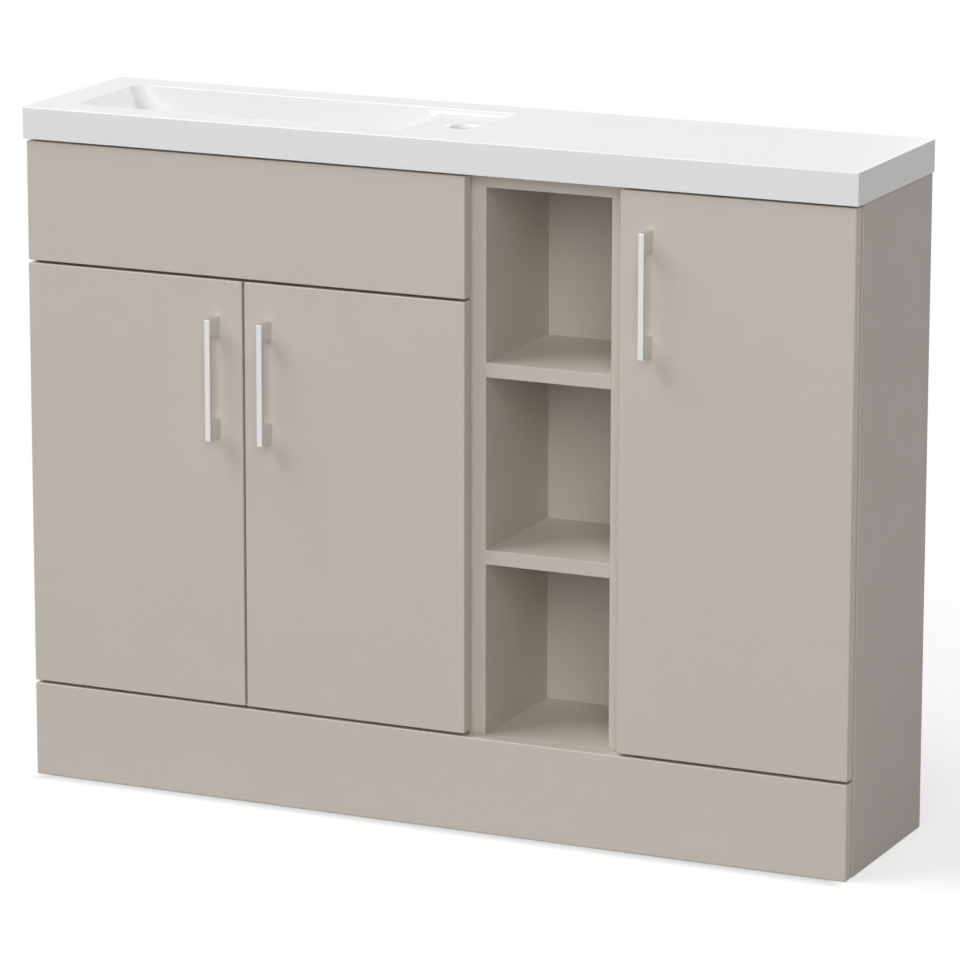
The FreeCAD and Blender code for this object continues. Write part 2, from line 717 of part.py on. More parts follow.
def make_handle(door, x, top):
    """A square handle with a leg at each end, and the two screws through the door."""
    handle_top = f"{top} - handle_top_distance"
    handle_bottom = f"{handle_top} - handle_length"
    width = around(x, "handle_width")
    bar_back = "front_face - handle_projection + handle_bar_depth"
    body = doc.addObject("PartDesign::Body", f"{door}_handle_blank")
    bar = body.newObject("PartDesign::AdditiveBox", f"{door}_handle_bar")
    bar_depth = ("front_face - handle_projection", bar_back)
    bind(bar, box_formulas((width, bar_depth, (handle_bottom, handle_top))))
    legs = (
        (handle_bottom, f"{handle_bottom} + handle_leg_height"),
        (f"{handle_top} - handle_leg_height", handle_top),
    )
    last = bar
    for number, height in enumerate(legs):
        last = body.newObject("PartDesign::AdditiveBox", f"{door}_handle_leg_{number}")
        bind(last, box_formulas((width, (bar_back, "front_face"), height)))
    doc.recompute()
    rounded(body, f"{door}_handle_round", last, [], "handle_edge_radius")
    blanks[f"{door}_handle"] = body
    screws = []
    for number, height in enumerate(legs):
        centre = (x, share_of(height, MIDDLE_SHARE))
        screw, hole = make_screw(
            f"{door}_handle_screw_{number}", "handle_screw", "y", "front_back", -1, centre,
            "front_thickness + handle_screw_reach",
        )
        screws.append(screw)
        cut_from(hole, door, f"{door}_handle")
    grouped(f"{door}_handle_screws", screws)


def make_pads(door, x, levels):
    pads = []
    for number, level in enumerate(levels):
        span = ("front_back", "front_back + pad_thickness")
        pads.append(rod(f"{door}_pad_{number}", "y", span, (x, level), "pad_radius"))
    grouped(f"{door}_pads", pads)


def make_cup(name, door, edge, way, level, screws):
    """A hinge cup let into the back of a door, notched where the arm turns in it."""
    centre = (along(edge, way, "cup_set_in"), level)
    floor = "front_back - cup_depth + cup_floor"
    mouth = "front_back + flange_thickness + overrun"
    cup_depth = ("front_back - cup_depth", "front_back")
    barrel = rod(name + "_barrel", "y", cup_depth, centre, "cup_radius - fit_clearance")
    flange = block(
        name + "_flange",
        around(along(edge, way, "cup_set_in + flange_offset"), "flange_width"),
        ("front_back", "front_back + flange_thickness"),
        around(level, "flange_height"),
    )
    hollow = rod(name + "_hollow", "y", (floor, mouth), centre, "cup_radius - cup_wall")
    notch = block(
        name + "_notch",
        reach(edge, way, "0", "cup_set_in"),
        (floor, mouth),
        around(level, "knuckle_height + 2 * notch_clearance"),
    )
    pin_centre = (along(edge, way, "pin_set_in"), "pin_y")
    pin_span = around(level, "pin_length + 2 * fit_clearance")
    pin_hole = rod(name + "_pin_hole", "z", pin_span, pin_centre, "pin_radius + running_clearance")
    recess_depth = ("front_back - cup_depth", "front_back + overrun")
    cut_from(rod(name + "_recess", "y", recess_depth, centre, "cup_radius"), door)
    tools = [hollow, notch, pin_hole]
    for number, screw_level in enumerate(around(level, "cup_screw_spacing")):
        screw, hole = make_screw(
            f"{name}_screw_{number}", "screw", "y", "front_back + flange_thickness", -1,
            (along(edge, way, "cup_set_in + flange_offset"), screw_level), "screw_length",
        )
        screws.append(screw)
        tools.append(hole)
        cut_from(hole, door)
    return carved(name, fused(name + "_blank", [barrel, flange]), tools)


def make_arm(name, edge, way, level):
    """A hinge arm from its knuckle in the cup, back along the side, over its plate."""
    pin_centre = (along(edge, way, "pin_set_in"), "pin_y")
    height = around(level, "knuckle_height")
    inside = "pin_y - arm_thickness / 2"
    end = "carcass_front + arm_reach"
    channel = ("carcass_front + channel_start", end)
    web = reach(edge, way, "arm_set_in", "arm_set_in + arm_thickness")
    ridge = "plate_ridge_height / 2 + channel_clearance"
    flank_start = "side_set_in + plate_wing_thickness + channel_clearance"
    flank = reach(edge, way, flank_start, "arm_set_in + arm_thickness")
    parts = [
        rod(name + "_knuckle", "z", height, pin_centre, "knuckle_radius"),
        block(
            name + "_crank",
            reach(edge, way, "pin_set_in", "arm_set_in + arm_thickness"),
            (inside, "pin_y + arm_thickness / 2"),
            height,
        ),
        block(name + "_strip", web, (inside, end), height),
        block(name + "_web", web, channel, around(level, f"2 * ({ridge} + channel_wall)")),
    ]
    for number, flank_way in enumerate((-1, 1)):
        flank_height = reach(level, flank_way, ridge, f"{ridge} + channel_wall")
        parts.append(block(f"{name}_flank_{number}", flank, channel, flank_height))
    bore_span = around(level, "knuckle_height + overrun")
    bore = rod(name + "_bore", "z", bore_span, pin_centre, "pin_radius + running_clearance")
    return carved(name, fused(name + "_blank", parts), [bore])


def make_plate(name, side, edge, way, level, screws):
    """A mounting plate on the inner face of a side, with a ridge that carries the arm."""
    middle = "carcass_front + plate_set_back"
    wing = block(
        name + "_wing",
        reach(edge, way, "side_set_in", "side_set_in + plate_wing_thickness"),
        around(middle, "plate_wing_width"),
        around(level, "plate_wing_height"),
    )
    ridge = block(
        name + "_ridge",
        reach(edge, way, "side_set_in", "arm_set_in"),
        ("carcass_front + plate_ridge_start", "carcass_front + arm_reach"),
        around(level, "plate_ridge_height"),
    )
    seat = along(edge, way, "side_set_in + plate_wing_thickness")
    tools = []
    for number, screw_level in enumerate(around(level, "plate_screw_spacing")):
        screw, hole = make_screw(
            f"{name}_screw_{number}", "screw", "x", seat, -way, (middle, screw_level), "screw_length"
        )
        screws.append(screw)
        tools.append(hole)
        cut_from(hole, side)
    return carved(name, fused(name + "_blank", [wing, ridge]), tools)


def make_doors():
    plate_screws = []
    for door, layout in DOORS.items():
        edge, way, top = layout["edge"], layout["way"], layout["top"]
        make_handle(door, layout["handle_x"], top)
        make_pads(door, layout["pad_x"], layout["pad_levels"])
        cups, cup_screws, pins, arms, plates = [], [], [], [], []
        for number, level in enumerate(("door_bottom + hinge_end_distance", f"{top} - hinge_end_distance")):
            hinge = f"{door}_hinge_{number}"
            cups.append(make_cup(hinge + "_cup", door, edge, way, level, cup_screws))
            arms.append(make_arm(hinge + "_arm", edge, way, level))
            plates.append(make_plate(hinge + "_plate", layout["side"], edge, way, level, plate_screws))
            pin_centre = (along(edge, way, "pin_set_in"), "pin_y")
            pins.append(rod(hinge + "_pin", "z", around(level, "pin_length"), pin_centre, "pin_radius"))
        grouped(f"{door}_hinge_cups", cups)
        grouped(f"{door}_cup_screws", cup_screws)
        grouped(f"{door}_hinge_pins", pins)
        grouped(f"{door}_hinge_arms", arms)
        grouped(f"{door}_hinge_plates", plates)
    grouped("hinge_plate_screws", plate_screws)


def finish_blanks():
    """Takes its holes out of each board, door and handle."""
    for node, blank in blanks.items():
        nodes[node] = carved(node, blank, cutters[node]) if node in cutters else blank


def check_and_write():
    for item in doc.Objects:
        if "Invalid" in item.State or "Error" in item.State:
            raise RuntimeError(f"{item.Name} failed: {item.State}")
    for node, item in nodes.items():
        item.Label = node
        if item.Shape.isNull() or not item.Shape.isValid():
            raise RuntimeError(f"{node} has no valid shape")
    os.makedirs("parts", exist_ok=True)
    for node, item in nodes.items():
        item.Shape.exportStep(f"parts/{node}.step")
        print(node, len(item.Shape.Solids), round(item.Shape.Volume))


make_boards()
cut_service_openings()
make_dowels()
make_connecting_screws()
make_brackets()
make_shelf_pins()
make_worktop()
make_doors()
finish_blanks()
doc.recompute()
check_and_write()
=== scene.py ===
import json
import math

import bmesh
import bpy
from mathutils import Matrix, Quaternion, Vector


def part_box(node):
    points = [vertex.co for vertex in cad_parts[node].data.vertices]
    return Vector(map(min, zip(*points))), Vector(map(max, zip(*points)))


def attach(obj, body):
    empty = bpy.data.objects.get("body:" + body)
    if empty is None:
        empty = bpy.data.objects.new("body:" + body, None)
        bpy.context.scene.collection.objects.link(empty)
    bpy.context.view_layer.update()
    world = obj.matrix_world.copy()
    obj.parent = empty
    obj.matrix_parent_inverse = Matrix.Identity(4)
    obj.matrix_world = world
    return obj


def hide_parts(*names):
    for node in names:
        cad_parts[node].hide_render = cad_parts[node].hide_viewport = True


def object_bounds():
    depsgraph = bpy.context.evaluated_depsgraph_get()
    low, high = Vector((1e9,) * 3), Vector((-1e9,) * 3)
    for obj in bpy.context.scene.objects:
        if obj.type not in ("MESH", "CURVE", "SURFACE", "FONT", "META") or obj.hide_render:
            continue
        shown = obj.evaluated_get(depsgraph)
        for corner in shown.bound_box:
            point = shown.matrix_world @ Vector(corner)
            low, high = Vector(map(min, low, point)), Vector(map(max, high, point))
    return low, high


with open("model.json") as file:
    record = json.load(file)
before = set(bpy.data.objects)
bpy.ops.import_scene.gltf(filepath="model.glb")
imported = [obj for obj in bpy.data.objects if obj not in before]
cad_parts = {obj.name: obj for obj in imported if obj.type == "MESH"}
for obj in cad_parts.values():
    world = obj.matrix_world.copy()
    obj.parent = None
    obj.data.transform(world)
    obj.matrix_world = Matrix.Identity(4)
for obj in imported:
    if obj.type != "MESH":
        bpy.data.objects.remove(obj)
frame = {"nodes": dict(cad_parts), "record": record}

cad_low, cad_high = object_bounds()

# How pieces are modelled. All lengths are in metres.
OVERRUN = 0.005
SAME_PLACE = 0.00001
MERGE_GAP = 0.000001
STRAIGHT = 0.9
LEANING = 0.5
DRILL_SIDES = 64
DRILL_WALLS = 4
ROUND_STEPS = 8
SHARP_ANGLE = math.radians(40)
SMOOTH_ANGLE = math.radians(35)
FLAT_ANGLE = math.radians(1)
FLAT_WEIGHT = 100
FACING_BACK = (math.pi / 2, 0, 0)
FACING_SIDE = (0, math.pi / 2, 0)

# The fronts, the outer boards and the handles.
FRONT_ROUND = 0.0015
FRONT_STEPS = 4
HANDLE_ROUND = 0.0003
HANDLE_STEPS = 3
HANDLE_BAR = 0.007
HANDLE_LEG = 0.024

# The hinges: a cup pressed from sheet, a cranked arm, and the plate that the arm rides on.
# Distances across are from the door's hinge edge.
HINGE_END = 0.1
CUP_RADIUS = 0.0175
CUP_DEPTH = 0.0125
CUP_SET_IN = 0.0205
CUP_FIT = 0.0001
CUP_WALL = 0.002
CUP_FLOOR = 0.0008
CUP_COLLAR = 0.001
EAR_LENGTH = 0.062
EAR_WIDTH = 0.018
EAR_OFFSET = 0.003
EAR_THICK = 0.0012
EAR_ROUND = 0.0085
EAR_SCREW = 0.024
NOTCH_HALF = 0.0054
SHEET_ROUND = 0.0004
SHEET_STEPS = 3
SCREW_HOLE = 0.00185
PIN_HOLE = 0.0013
PIN_HOLE_LENGTH = 0.0186
PIN_SET_IN = 0.007
PIN_SET_BACK = 0.009
KNUCKLE_RADIUS = 0.0022
KNUCKLE_HEIGHT = 0.0098
ARM_HALF = 0.005
ARM_THICK = 0.002
ARM_SET_IN = 0.02
ARM_REACH = 0.058
ARM_BEND = 0.001
ARM_EDGE = 0.0002
ARM_STEPS = 2
CHANNEL_START = 0.006
CHANNEL_CLEAR = 0.0002
CHANNEL_WALL = 0.0012
CHANNEL_DROP = 0.0016
ADJUSTERS = (0.018, 0.05)
PLATE_SET_IN = 0.017
PLATE_THICK = 0.0012
PLATE_MIDDLE = 0.037
PLATE_HALF_WIDTH = 0.008
PLATE_HALF_LENGTH = 0.024
PLATE_ROUND = 0.0078
PLATE_SCREW = 0.016
RIDGE_START = 0.01

# Screws: the head's radius and height, the shank's radius and the whole length.
WOOD_SCREW = (0.0035, 0.002, 0.00175, 0.017)
HANDLE_SCREW = (0.004, 0.002, 0.002, 0.03)
CONNECTING_SCREW = (0.004, 0.0025, 0.002, 0.0305)
ADJUSTING_SCREW = (0.003, 0.0009, 0.0015, 0.0025)
HEAD_DOME = 0.6
HEAD_STEPS = 4
RECESS_LENGTH = 0.55
RECESS_WIDTH = 0.11
RECESS_DEPTH = 0.55
SCREW_TURN = 0.7
PAD_RADIUS = 0.004
PAD_THICK = 0.0022
PAD_DOME = 0.0016
PAD_STEPS = 6

# The casting: the slab, the bowl with its drafts, and the shallow deck for the tap.
# The slope's cuts are shares of the bowl's depth.
SLAB_THICK = 0.04
SLAB_ROUND = 0.002
SLAB_ARRIS = 0.0005
TOP_SKIN = 0.012
HOLLOW_MARGIN = 0.03
BASIN_RIM = 0.045
BASIN_LENGTH = 0.5305
BOWL_DEPTH = 0.095
BOWL_WALL = 0.01
LEFT_DRAFT = 0.12
SLOPE_HOLLOW = 0.04
SLOPE_CUTS = (0.2, 0.3, 0.4, 0.5, 0.6, 0.7, 0.8)
SIDE_DRAFT = 0.014
RIGHT_DRAFT = 0.06
BOWL_CORNER = 0.02
BOWL_FOOT_ROUND = 0.017
DECK_LENGTH = 0.0965
DECK_DEPTH = 0.008
DECK_CORNER = 0.004
DECK_FOOT_ROUND = 0.0055
STEP_ROUND = 0.008
RIM_ROUND = 0.002
TAP_RADIUS = 0.0175
TAP_FROM_END = 0.0395
TAP_FROM_BACK = 0.067
TAP_ROUND = 0.007
WASTE_RADIUS = 0.0225
WASTE_ROUND = 0.0045
HOLE_STEPS = 6

# Where the casting's levels and sides are, from the box of its solid.
casting_low, casting_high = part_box("worktop_basin")
TOP_LEVEL = casting_high.z
DECK_LEVEL = TOP_LEVEL - DECK_DEPTH
BOWL_FLOOR = TOP_LEVEL - BOWL_DEPTH
UNDERSIDE = TOP_LEVEL - SLAB_THICK
SHELL_BOTTOM = casting_low.z
BASIN_LEFT = casting_low.x + BASIN_RIM
BASIN_RIGHT = BASIN_LEFT + BASIN_LENGTH
BASIN_FRONT = casting_low.y + BASIN_RIM
BASIN_BACK = casting_high.y - BASIN_RIM
DECK_SHARE = DECK_DEPTH / BOWL_DEPTH
DECK_EDGE = BASIN_RIGHT - DECK_LENGTH - RIGHT_DRAFT * DECK_SHARE
BOWL_END = BASIN_RIGHT - DECK_LENGTH - RIGHT_DRAFT

# Each door: its body and the side that its hinges are on, 1 for the right.
DOORS = {"left_door": -1, "right_door": 1, "cupboard_door": 1}

# Colours. A pair is the darker and the lighter tone of one finish.
TAUPE = (0.645, 0.585, 0.522, 1)
CHROME = (0.75, 0.75, 0.747, 1)
HINGE_GREY = (0.6, 0.6, 0.61, 1)
SCREW_GREY = (0.56, 0.56, 0.54, 1)
CAST_WHITES = ((0.896, 0.896, 0.895, 1), (0.904, 0.904, 0.904, 1))
BEECH_BROWNS = ((0.4, 0.24, 0.12, 1), (0.62, 0.43, 0.25, 1))
PAD_GREYS = ((0.6, 0.6, 0.58, 1), (0.72, 0.72, 0.7, 1))
NOISE_LOW = 0.3
NOISE_HIGH = 0.7

# Floor, light and camera.
FLOOR_SIZE = 80
FLOOR_GREY = (0.5, 0.5, 0.5, 1)
FLOOR_LIFT = 0.6
LIFT_MARGIN = 0.04
FADE_START = 0.8
FADE_END = 1.6
SKY_WHITE = (1, 1, 1, 1)
SKY_SPREAD = 0.16
SKY_SEEN = 1.0
LAMP_SIZE = 6.0
LAMPS = (
    ("high_left", (-4.97, -2.87, 8.64), 580),
    ("front", (2.95, -8.27, 5.22), 398),
    ("rear", (0, 8.66, 5.45), 175),
)
SENSOR_WIDTH = 36.0
FOCAL_LENGTH = 209.278
LENS_SHIFT = (0.03614, -0.0127)
VIEW_END = 100.0
CAMERA_PLACE = (2.80266, -6.07689, 1.99356)
CAMERA_TILT = math.radians(76.842)
CAMERA_TURN = math.radians(24.983)


# Modelling by hand


def deselect():
    if bpy.context.object and bpy.context.object.mode != "OBJECT":
        bpy.ops.object.mode_set(mode="OBJECT")
    bpy.ops.object.select_all(action="DESELECT")


def take(piece):
    """Makes a piece the only one selected."""
    deselect()
    piece.select_set(True)
    bpy.context.view_layer.objects.active = piece


def settle(name):
    """Names the newest piece and puts its place into its mesh."""
    piece = bpy.context.object
    piece.name = name
    piece.data.name = name
    bpy.ops.object.transform_apply(location=True, rotation=True, scale=True)
    return piece


def block(name, low, high):
    low, high = Vector(low), Vector(high)
    deselect()
    bpy.ops.mesh.primitive_cube_add(size=1, location=(low + high) / 2, scale=high - low)
    return settle(name)


def drill(centre, radius, length, turn=(0, 0, 0)):
    """A round bar to cut or build with, upright unless it is turned."""
    deselect()
    bpy.ops.mesh.primitive_cylinder_add(
        vertices=DRILL_SIDES, radius=radius, depth=length, location=centre, rotation=turn
    )
    return settle("drill")


def near(first, second):
    return abs(first - second) < SAME_PLACE


def level_with(place):
    """A test for the edges that lie at one level."""
    return lambda a, b: near(a.z, place) and near(b.z, place)


def between(upper, lower):
    """A test for the edges that run from one level to another."""
    return lambda a, b: near(max(a.z, b.z), upper) and near(min(a.z, b.z), lower)


def shape(piece, kind):
    """Goes into edit mode on a piece, with nothing selected."""
    take(piece)
    bpy.ops.object.mode_set(mode="EDIT")
    bpy.ops.mesh.select_mode(type=kind)
    bpy.ops.mesh.select_all(action="DESELECT")


def pick_faces(piece, test):
    """Selects the faces whose middle and normal pass a test."""
    shape(piece, "FACE")
    mesh = bmesh.from_edit_mesh(piece.data)
    for face in mesh.faces:
        if test(face.calc_center_median(), face.normal):
            face.select_set(True)
    bmesh.update_edit_mesh(piece.data)


def pick_edges(piece, test):
    """Selects the edges whose two ends pass a test."""
    shape(piece, "EDGE")
    mesh = bmesh.from_edit_mesh(piece.data)
    for edge in mesh.edges:
        if test(edge.verts[0].co, edge.verts[1].co):
            edge.select_set(True)
    bmesh.update_edit_mesh(piece.data)


def shift_points(piece, test, way):
    """Moves the points that pass a test."""
    shape(piece, "VERT")
    mesh = bmesh.from_edit_mesh(piece.data)
    for point in mesh.verts:
        if test(point.co):
            point.select_set(True)
    bmesh.update_edit_mesh(piece.data)
    bpy.ops.transform.translate(value=way)


def cut_across(piece, place, way):
    """Cuts every face of a piece where a plane crosses it."""
    shape(piece, "FACE")
    bpy.ops.mesh.select_all(action="SELECT")
    bpy.ops.mesh.bisect(plane_co=place, plane_no=way)


def draw_out(way):
    """Draws the picked faces out of their piece."""
    bpy.ops.mesh.extrude_region_move(TRANSFORM_OT_translate={"value": way})


def round_picked(width, segments=ROUND_STEPS):
    """Rounds the picked edges."""
    bpy.ops.mesh.bevel(offset=width, segments=segments, affect="EDGES", clamp_overlap=False)


def apply(piece, modifier):
    take(piece)
    bpy.ops.object.modifier_apply(modifier=modifier.name)


def combine(piece, tool, how):
    change = piece.modifiers.new("combine", "BOOLEAN")
    change.operation = how
    change.solver = "EXACT"
    change.object = tool
    apply(piece, change)
    bpy.data.objects.remove(tool)


def carve(piece, tool):
    combine(piece, tool, "DIFFERENCE")


def weld(piece, tool):
    combine(piece, tool, "UNION")


def round_edges(piece, width, segments, by="ANGLE"):
    """Rounds the sharp edges, or each edge by its own share of the width."""
    bevel = piece.modifiers.new("round", "BEVEL")
    bevel.width = width
    bevel.segments = segments
    bevel.limit_method = by
    bevel.angle_limit = SHARP_ANGLE
    bevel.use_clamp_overlap = False
    apply(piece, bevel)


def smooth(piece):
    """Smooth shading that keeps the flat faces flat."""
    take(piece)
    bpy.ops.object.shade_smooth_by_angle(angle=SMOOTH_ANGLE)
    level = piece.modifiers.new("level", "WEIGHTED_NORMAL")
    level.keep_sharp = True
    level.weight = FLAT_WEIGHT
    apply(piece, level)


def copy_of(piece):
    take(piece)
    bpy.ops.object.duplicate()
    return bpy.context.object


def joined(pieces, name):
    """Makes several copies one piece."""
    deselect()
    for piece in pieces:
        piece.select_set(True)
    bpy.context.view_layer.objects.active = pieces[0]
    bpy.ops.object.join()
    pieces[0].name = name
    pieces[0].data.name = name
    return pieces[0]


def finish_piece(piece, node, body):
    """Puts a piece on its body in place of a CAD node, with that node's finish."""
    slot = SLOTS[node]
    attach(piece, body)
    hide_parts(node)
    piece.data.materials.clear()
    piece.data.materials.append(finishes[slot])


# Finishes


def add(tree, kind, links=None, **settings):
    """A new node; links gives each input socket a value or another node's output."""
    item = tree.nodes.new(kind)
    for key, value in settings.items():
        setattr(item, key, value)
    for socket, value in (links or {}).items():
        if isinstance(value, bpy.types.NodeSocket):
            tree.links.new(value, item.inputs[socket])
        else:
            item.inputs[socket].default_value = value
    return item


def object_place(tree):
    return add(tree, "ShaderNodeTexCoord").outputs["Object"]


def noise(tree, place, scale, detail):
    links = {"Vector": place, "Scale": scale, "Detail": detail}
    return add(tree, "ShaderNodeTexNoise", links).outputs["Fac"]


def maths(tree, operation, *values):
    return add(tree, "ShaderNodeMath", dict(enumerate(values)), operation=operation).outputs[0]


def vectors(tree, operation, *values):
    return add(tree, "ShaderNodeVectorMath", dict(enumerate(values)), operation=operation).outputs


def spread(tree, value, low, high):
    """Maps a noise value to the range from low to high."""
    links = {
        "Value": value, "From Min": NOISE_LOW, "From Max": NOISE_HIGH,
        "To Min": low, "To Max": high,
    }
    return add(tree, "ShaderNodeMapRange", links).outputs["Result"]


def shaded(tree, colour, shade):
    """A colour times a value."""
    links = {0: colour, "Scale": shade}
    return add(tree, "ShaderNodeVectorMath", links, operation="SCALE").outputs[0]


def new_group(name, inputs):
    """A shader group that gives colour, roughness and height; an input is (name, kind, value)."""
    group = bpy.data.node_groups.new(name, "ShaderNodeTree")
    for label, kind, value in inputs:
        socket = group.interface.new_socket(label, in_out="INPUT", socket_type=kind)
        socket.default_value = value
    for label, kind in (
        ("Colour", "NodeSocketColor"), ("Roughness", "NodeSocketFloat"), ("Height", "NodeSocketFloat"),
    ):
        group.interface.new_socket(label, in_out="OUTPUT", socket_type=kind)
    return group, group.nodes.new("NodeGroupInput").outputs


def close_group(group, colour, rough, height):
    out = group.nodes.new("NodeGroupOutput")
    for label, value in (("Colour", colour), ("Roughness", rough), ("Height", height)):
        group.links.new(value, out.inputs[label])
    return group


def paint_film():
    """Sprayed paint: a faint drift of colour, uneven sheen and a fine orange peel."""
    group, given = new_group(
        "paint_film",
        (
            ("Colour", "NodeSocketColor", (0.5, 0.5, 0.5, 1)),
            ("Drift", "NodeSocketFloat", 0.03),
            ("Dullest", "NodeSocketFloat", 0.5),
            ("Shiniest", "NodeSocketFloat", 0.4),
            ("Peel Size", "NodeSocketFloat", 900.0),
        ),
    )
    place = object_place(group)
    cloud = noise(group, place, scale=7.0, detail=4.0)
    sheen = noise(group, place, scale=26.0, detail=3.0)
    peel = noise(group, place, scale=given["Peel Size"], detail=2.0)
    darker = maths(group, "SUBTRACT", 1.0, given["Drift"])
    colour = shaded(group, given["Colour"], spread(group, cloud, darker, 1.0))
    rough = spread(group, sheen, given["Shiniest"], given["Dullest"])
    return close_group(group, colour, rough, peel)


def brushed_skin():
    """Plated metal with fine lines along one direction and a little handling haze."""
    group, given = new_group(
        "brushed_skin",
        (
            ("Colour", "NodeSocketColor", (0.7, 0.7, 0.7, 1)),
            ("Line Scale", "NodeSocketVector", (1800.0, 1800.0, 14.0)),
            ("Shiniest", "NodeSocketFloat", 0.2),
            ("Dullest", "NodeSocketFloat", 0.35),
        ),
    )
    place = object_place(group)
    stretched = vectors(group, "MULTIPLY", place, given["Line Scale"])[0]
    lines = noise(group, stretched, scale=1.0, detail=2.0)
    haze = noise(group, place, scale=60.0, detail=3.0)
    colour = shaded(group, given["Colour"], spread(group, lines, 0.94, 1.0))
    rough = spread(group, haze, given["Shiniest"], given["Dullest"])
    return close_group(group, colour, rough, lines)


def blank_finish(name):
    """A new material with an empty tree."""
    finish = bpy.data.materials.new(name)
    finish.use_nodes = True
    finish.node_tree.nodes.clear()
    return finish, finish.node_tree


def new_finish(name, **plain):
    """A material with one shader; plain values go on the shader's own sockets."""
    finish, tree = blank_finish(name)
    shader = add(tree, "ShaderNodeBsdfPrincipled")
    for socket, value in plain.items():
        shader.inputs[socket.replace("_", " ")].default_value = value
    add(tree, "ShaderNodeOutputMaterial", {"Surface": shader.outputs[0]})
    return finish, tree, shader


def bump(tree, shader, height, strength, distance):
    links = {"Height": height, "Strength": strength, "Distance": distance}
    tree.links.new(add(tree, "ShaderNodeBump", links).outputs[0], shader.inputs["Normal"])


def two_tone(tree, shader, value, tones):
    """Colours a finish between its darker and its lighter tone by a noise value."""
    links = {"Factor": spread(tree, value, 0.0, 1.0), "A": tones[0], "B": tones[1]}
    tint = add(tree, "ShaderNodeMix", links, data_type="RGBA")
    tree.links.new(tint.outputs["Result"], shader.inputs["Base Color"])


def from_group(name, group, values, strength, distance, **plain):
    """A finish whose colour, sheen and relief come from a shared group."""
    finish, tree, shader = new_finish(name, **plain)
    skin = add(tree, "ShaderNodeGroup", node_tree=group)
    for socket, value in values.items():
        skin.inputs[socket].default_value = value
    tree.links.new(skin.outputs["Colour"], shader.inputs["Base Color"])
    tree.links.new(skin.outputs["Roughness"], shader.inputs["Roughness"])
    bump(tree, shader, skin.outputs["Height"], strength, distance)
    return finish


def cast_top():
    """Glossy cast resin: nearly white, with a faint cloud under the gel coat."""
    finish, tree, shader = new_finish("cast_top", Specular_IOR_Level=0.5, IOR=1.5)
    place = object_place(tree)
    two_tone(tree, shader, noise(tree, place, scale=5.0, detail=3.0), CAST_WHITES)
    polish = noise(tree, place, scale=12.0, detail=2.0)
    tree.links.new(spread(tree, polish, 0.16, 0.18), shader.inputs["Roughness"])
    ripple = noise(tree, place, scale=14.0, detail=1.0)
    bump(tree, shader, ripple, strength=0.008, distance=0.002)
    return finish


def beech_dowel():
    """Turned beech, with its grain along the dowel."""
    finish, tree, shader = new_finish("beech_dowel", Specular_IOR_Level=0.3)
    links = {"Vector": object_place(tree), "Scale": (40.0, 700.0, 700.0)}
    turned = add(tree, "ShaderNodeMapping", links).outputs[0]
    grain = noise(tree, turned, scale=1.0, detail=4.0)
    two_tone(tree, shader, grain, BEECH_BROWNS)
    tree.links.new(spread(tree, grain, 0.55, 0.75), shader.inputs["Roughness"])
    bump(tree, shader, grain, strength=0.3, distance=0.0003)
    return finish


def buffer_pad():
    """Soft plastic with a fine grit."""
    finish, tree, shader = new_finish("buffer_pad", Specular_IOR_Level=0.4)
    grit = noise(tree, object_place(tree), scale=900.0, detail=3.0)
    two_tone(tree, shader, grit, PAD_GREYS)
    tree.links.new(spread(tree, grit, 0.4, 0.6), shader.inputs["Roughness"])
    bump(tree, shader, grit, strength=0.2, distance=0.0002)
    return finish


def make_finishes():
    film = paint_film()
    skin = brushed_skin()
    return {
        "cast_top": cast_top(),
        "painted_front": from_group(
            "painted_front", film,
            {"Colour": TAUPE, "Drift": 0.012, "Shiniest": 0.33, "Dullest": 0.37, "Peel Size": 700.0},
            strength=0.04, distance=0.0002, Specular_IOR_Level=0.5,
        ),
        "painted_board": from_group(
            "painted_board", film,
            {"Colour": TAUPE, "Drift": 0.015, "Shiniest": 0.44, "Dullest": 0.5, "Peel Size": 1100.0},
            strength=0.06, distance=0.0002, Specular_IOR_Level=0.4,
        ),
        "handle_chrome": from_group(
            "handle_chrome", skin,
            {"Colour": CHROME, "Shiniest": 0.2, "Dullest": 0.26},
            strength=0.06, distance=0.0001, Metallic=1.0,
        ),
        "hinge_steel": from_group(
            "hinge_steel", skin,
            {
                "Colour": HINGE_GREY, "Line Scale": (1200.0, 60.0, 1200.0),
                "Shiniest": 0.25, "Dullest": 0.4,
            },
            strength=0.08, distance=0.0001, Metallic=1.0,
        ),
        "plated_steel": from_group(
            "plated_steel", skin,
            {
                "Colour": SCREW_GREY, "Line Scale": (500.0, 500.0, 500.0),
                "Shiniest": 0.3, "Dullest": 0.48,
            },
            strength=0.1, distance=0.0001, Metallic=1.0,
        ),
        "beech_dowel": beech_dowel(),
        "buffer_pad": buffer_pad(),
    }


finishes = make_finishes()
SLOTS = {part["node"]: part["material_slot"] for part in frame["record"]["subparts"]}
for node, slot in SLOTS.items():
    for holder in frame["nodes"][node].material_slots:
        holder.material = finishes[slot]


# Fronts and handles


def hinge_place(door):
    """The hinge edge of a door, and the levels of its two hinges."""
    low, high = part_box(door)
    edge = high.x if DOORS[door] > 0 else low.x
    return edge, (low.z + HINGE_END, high.z - HINGE_END)


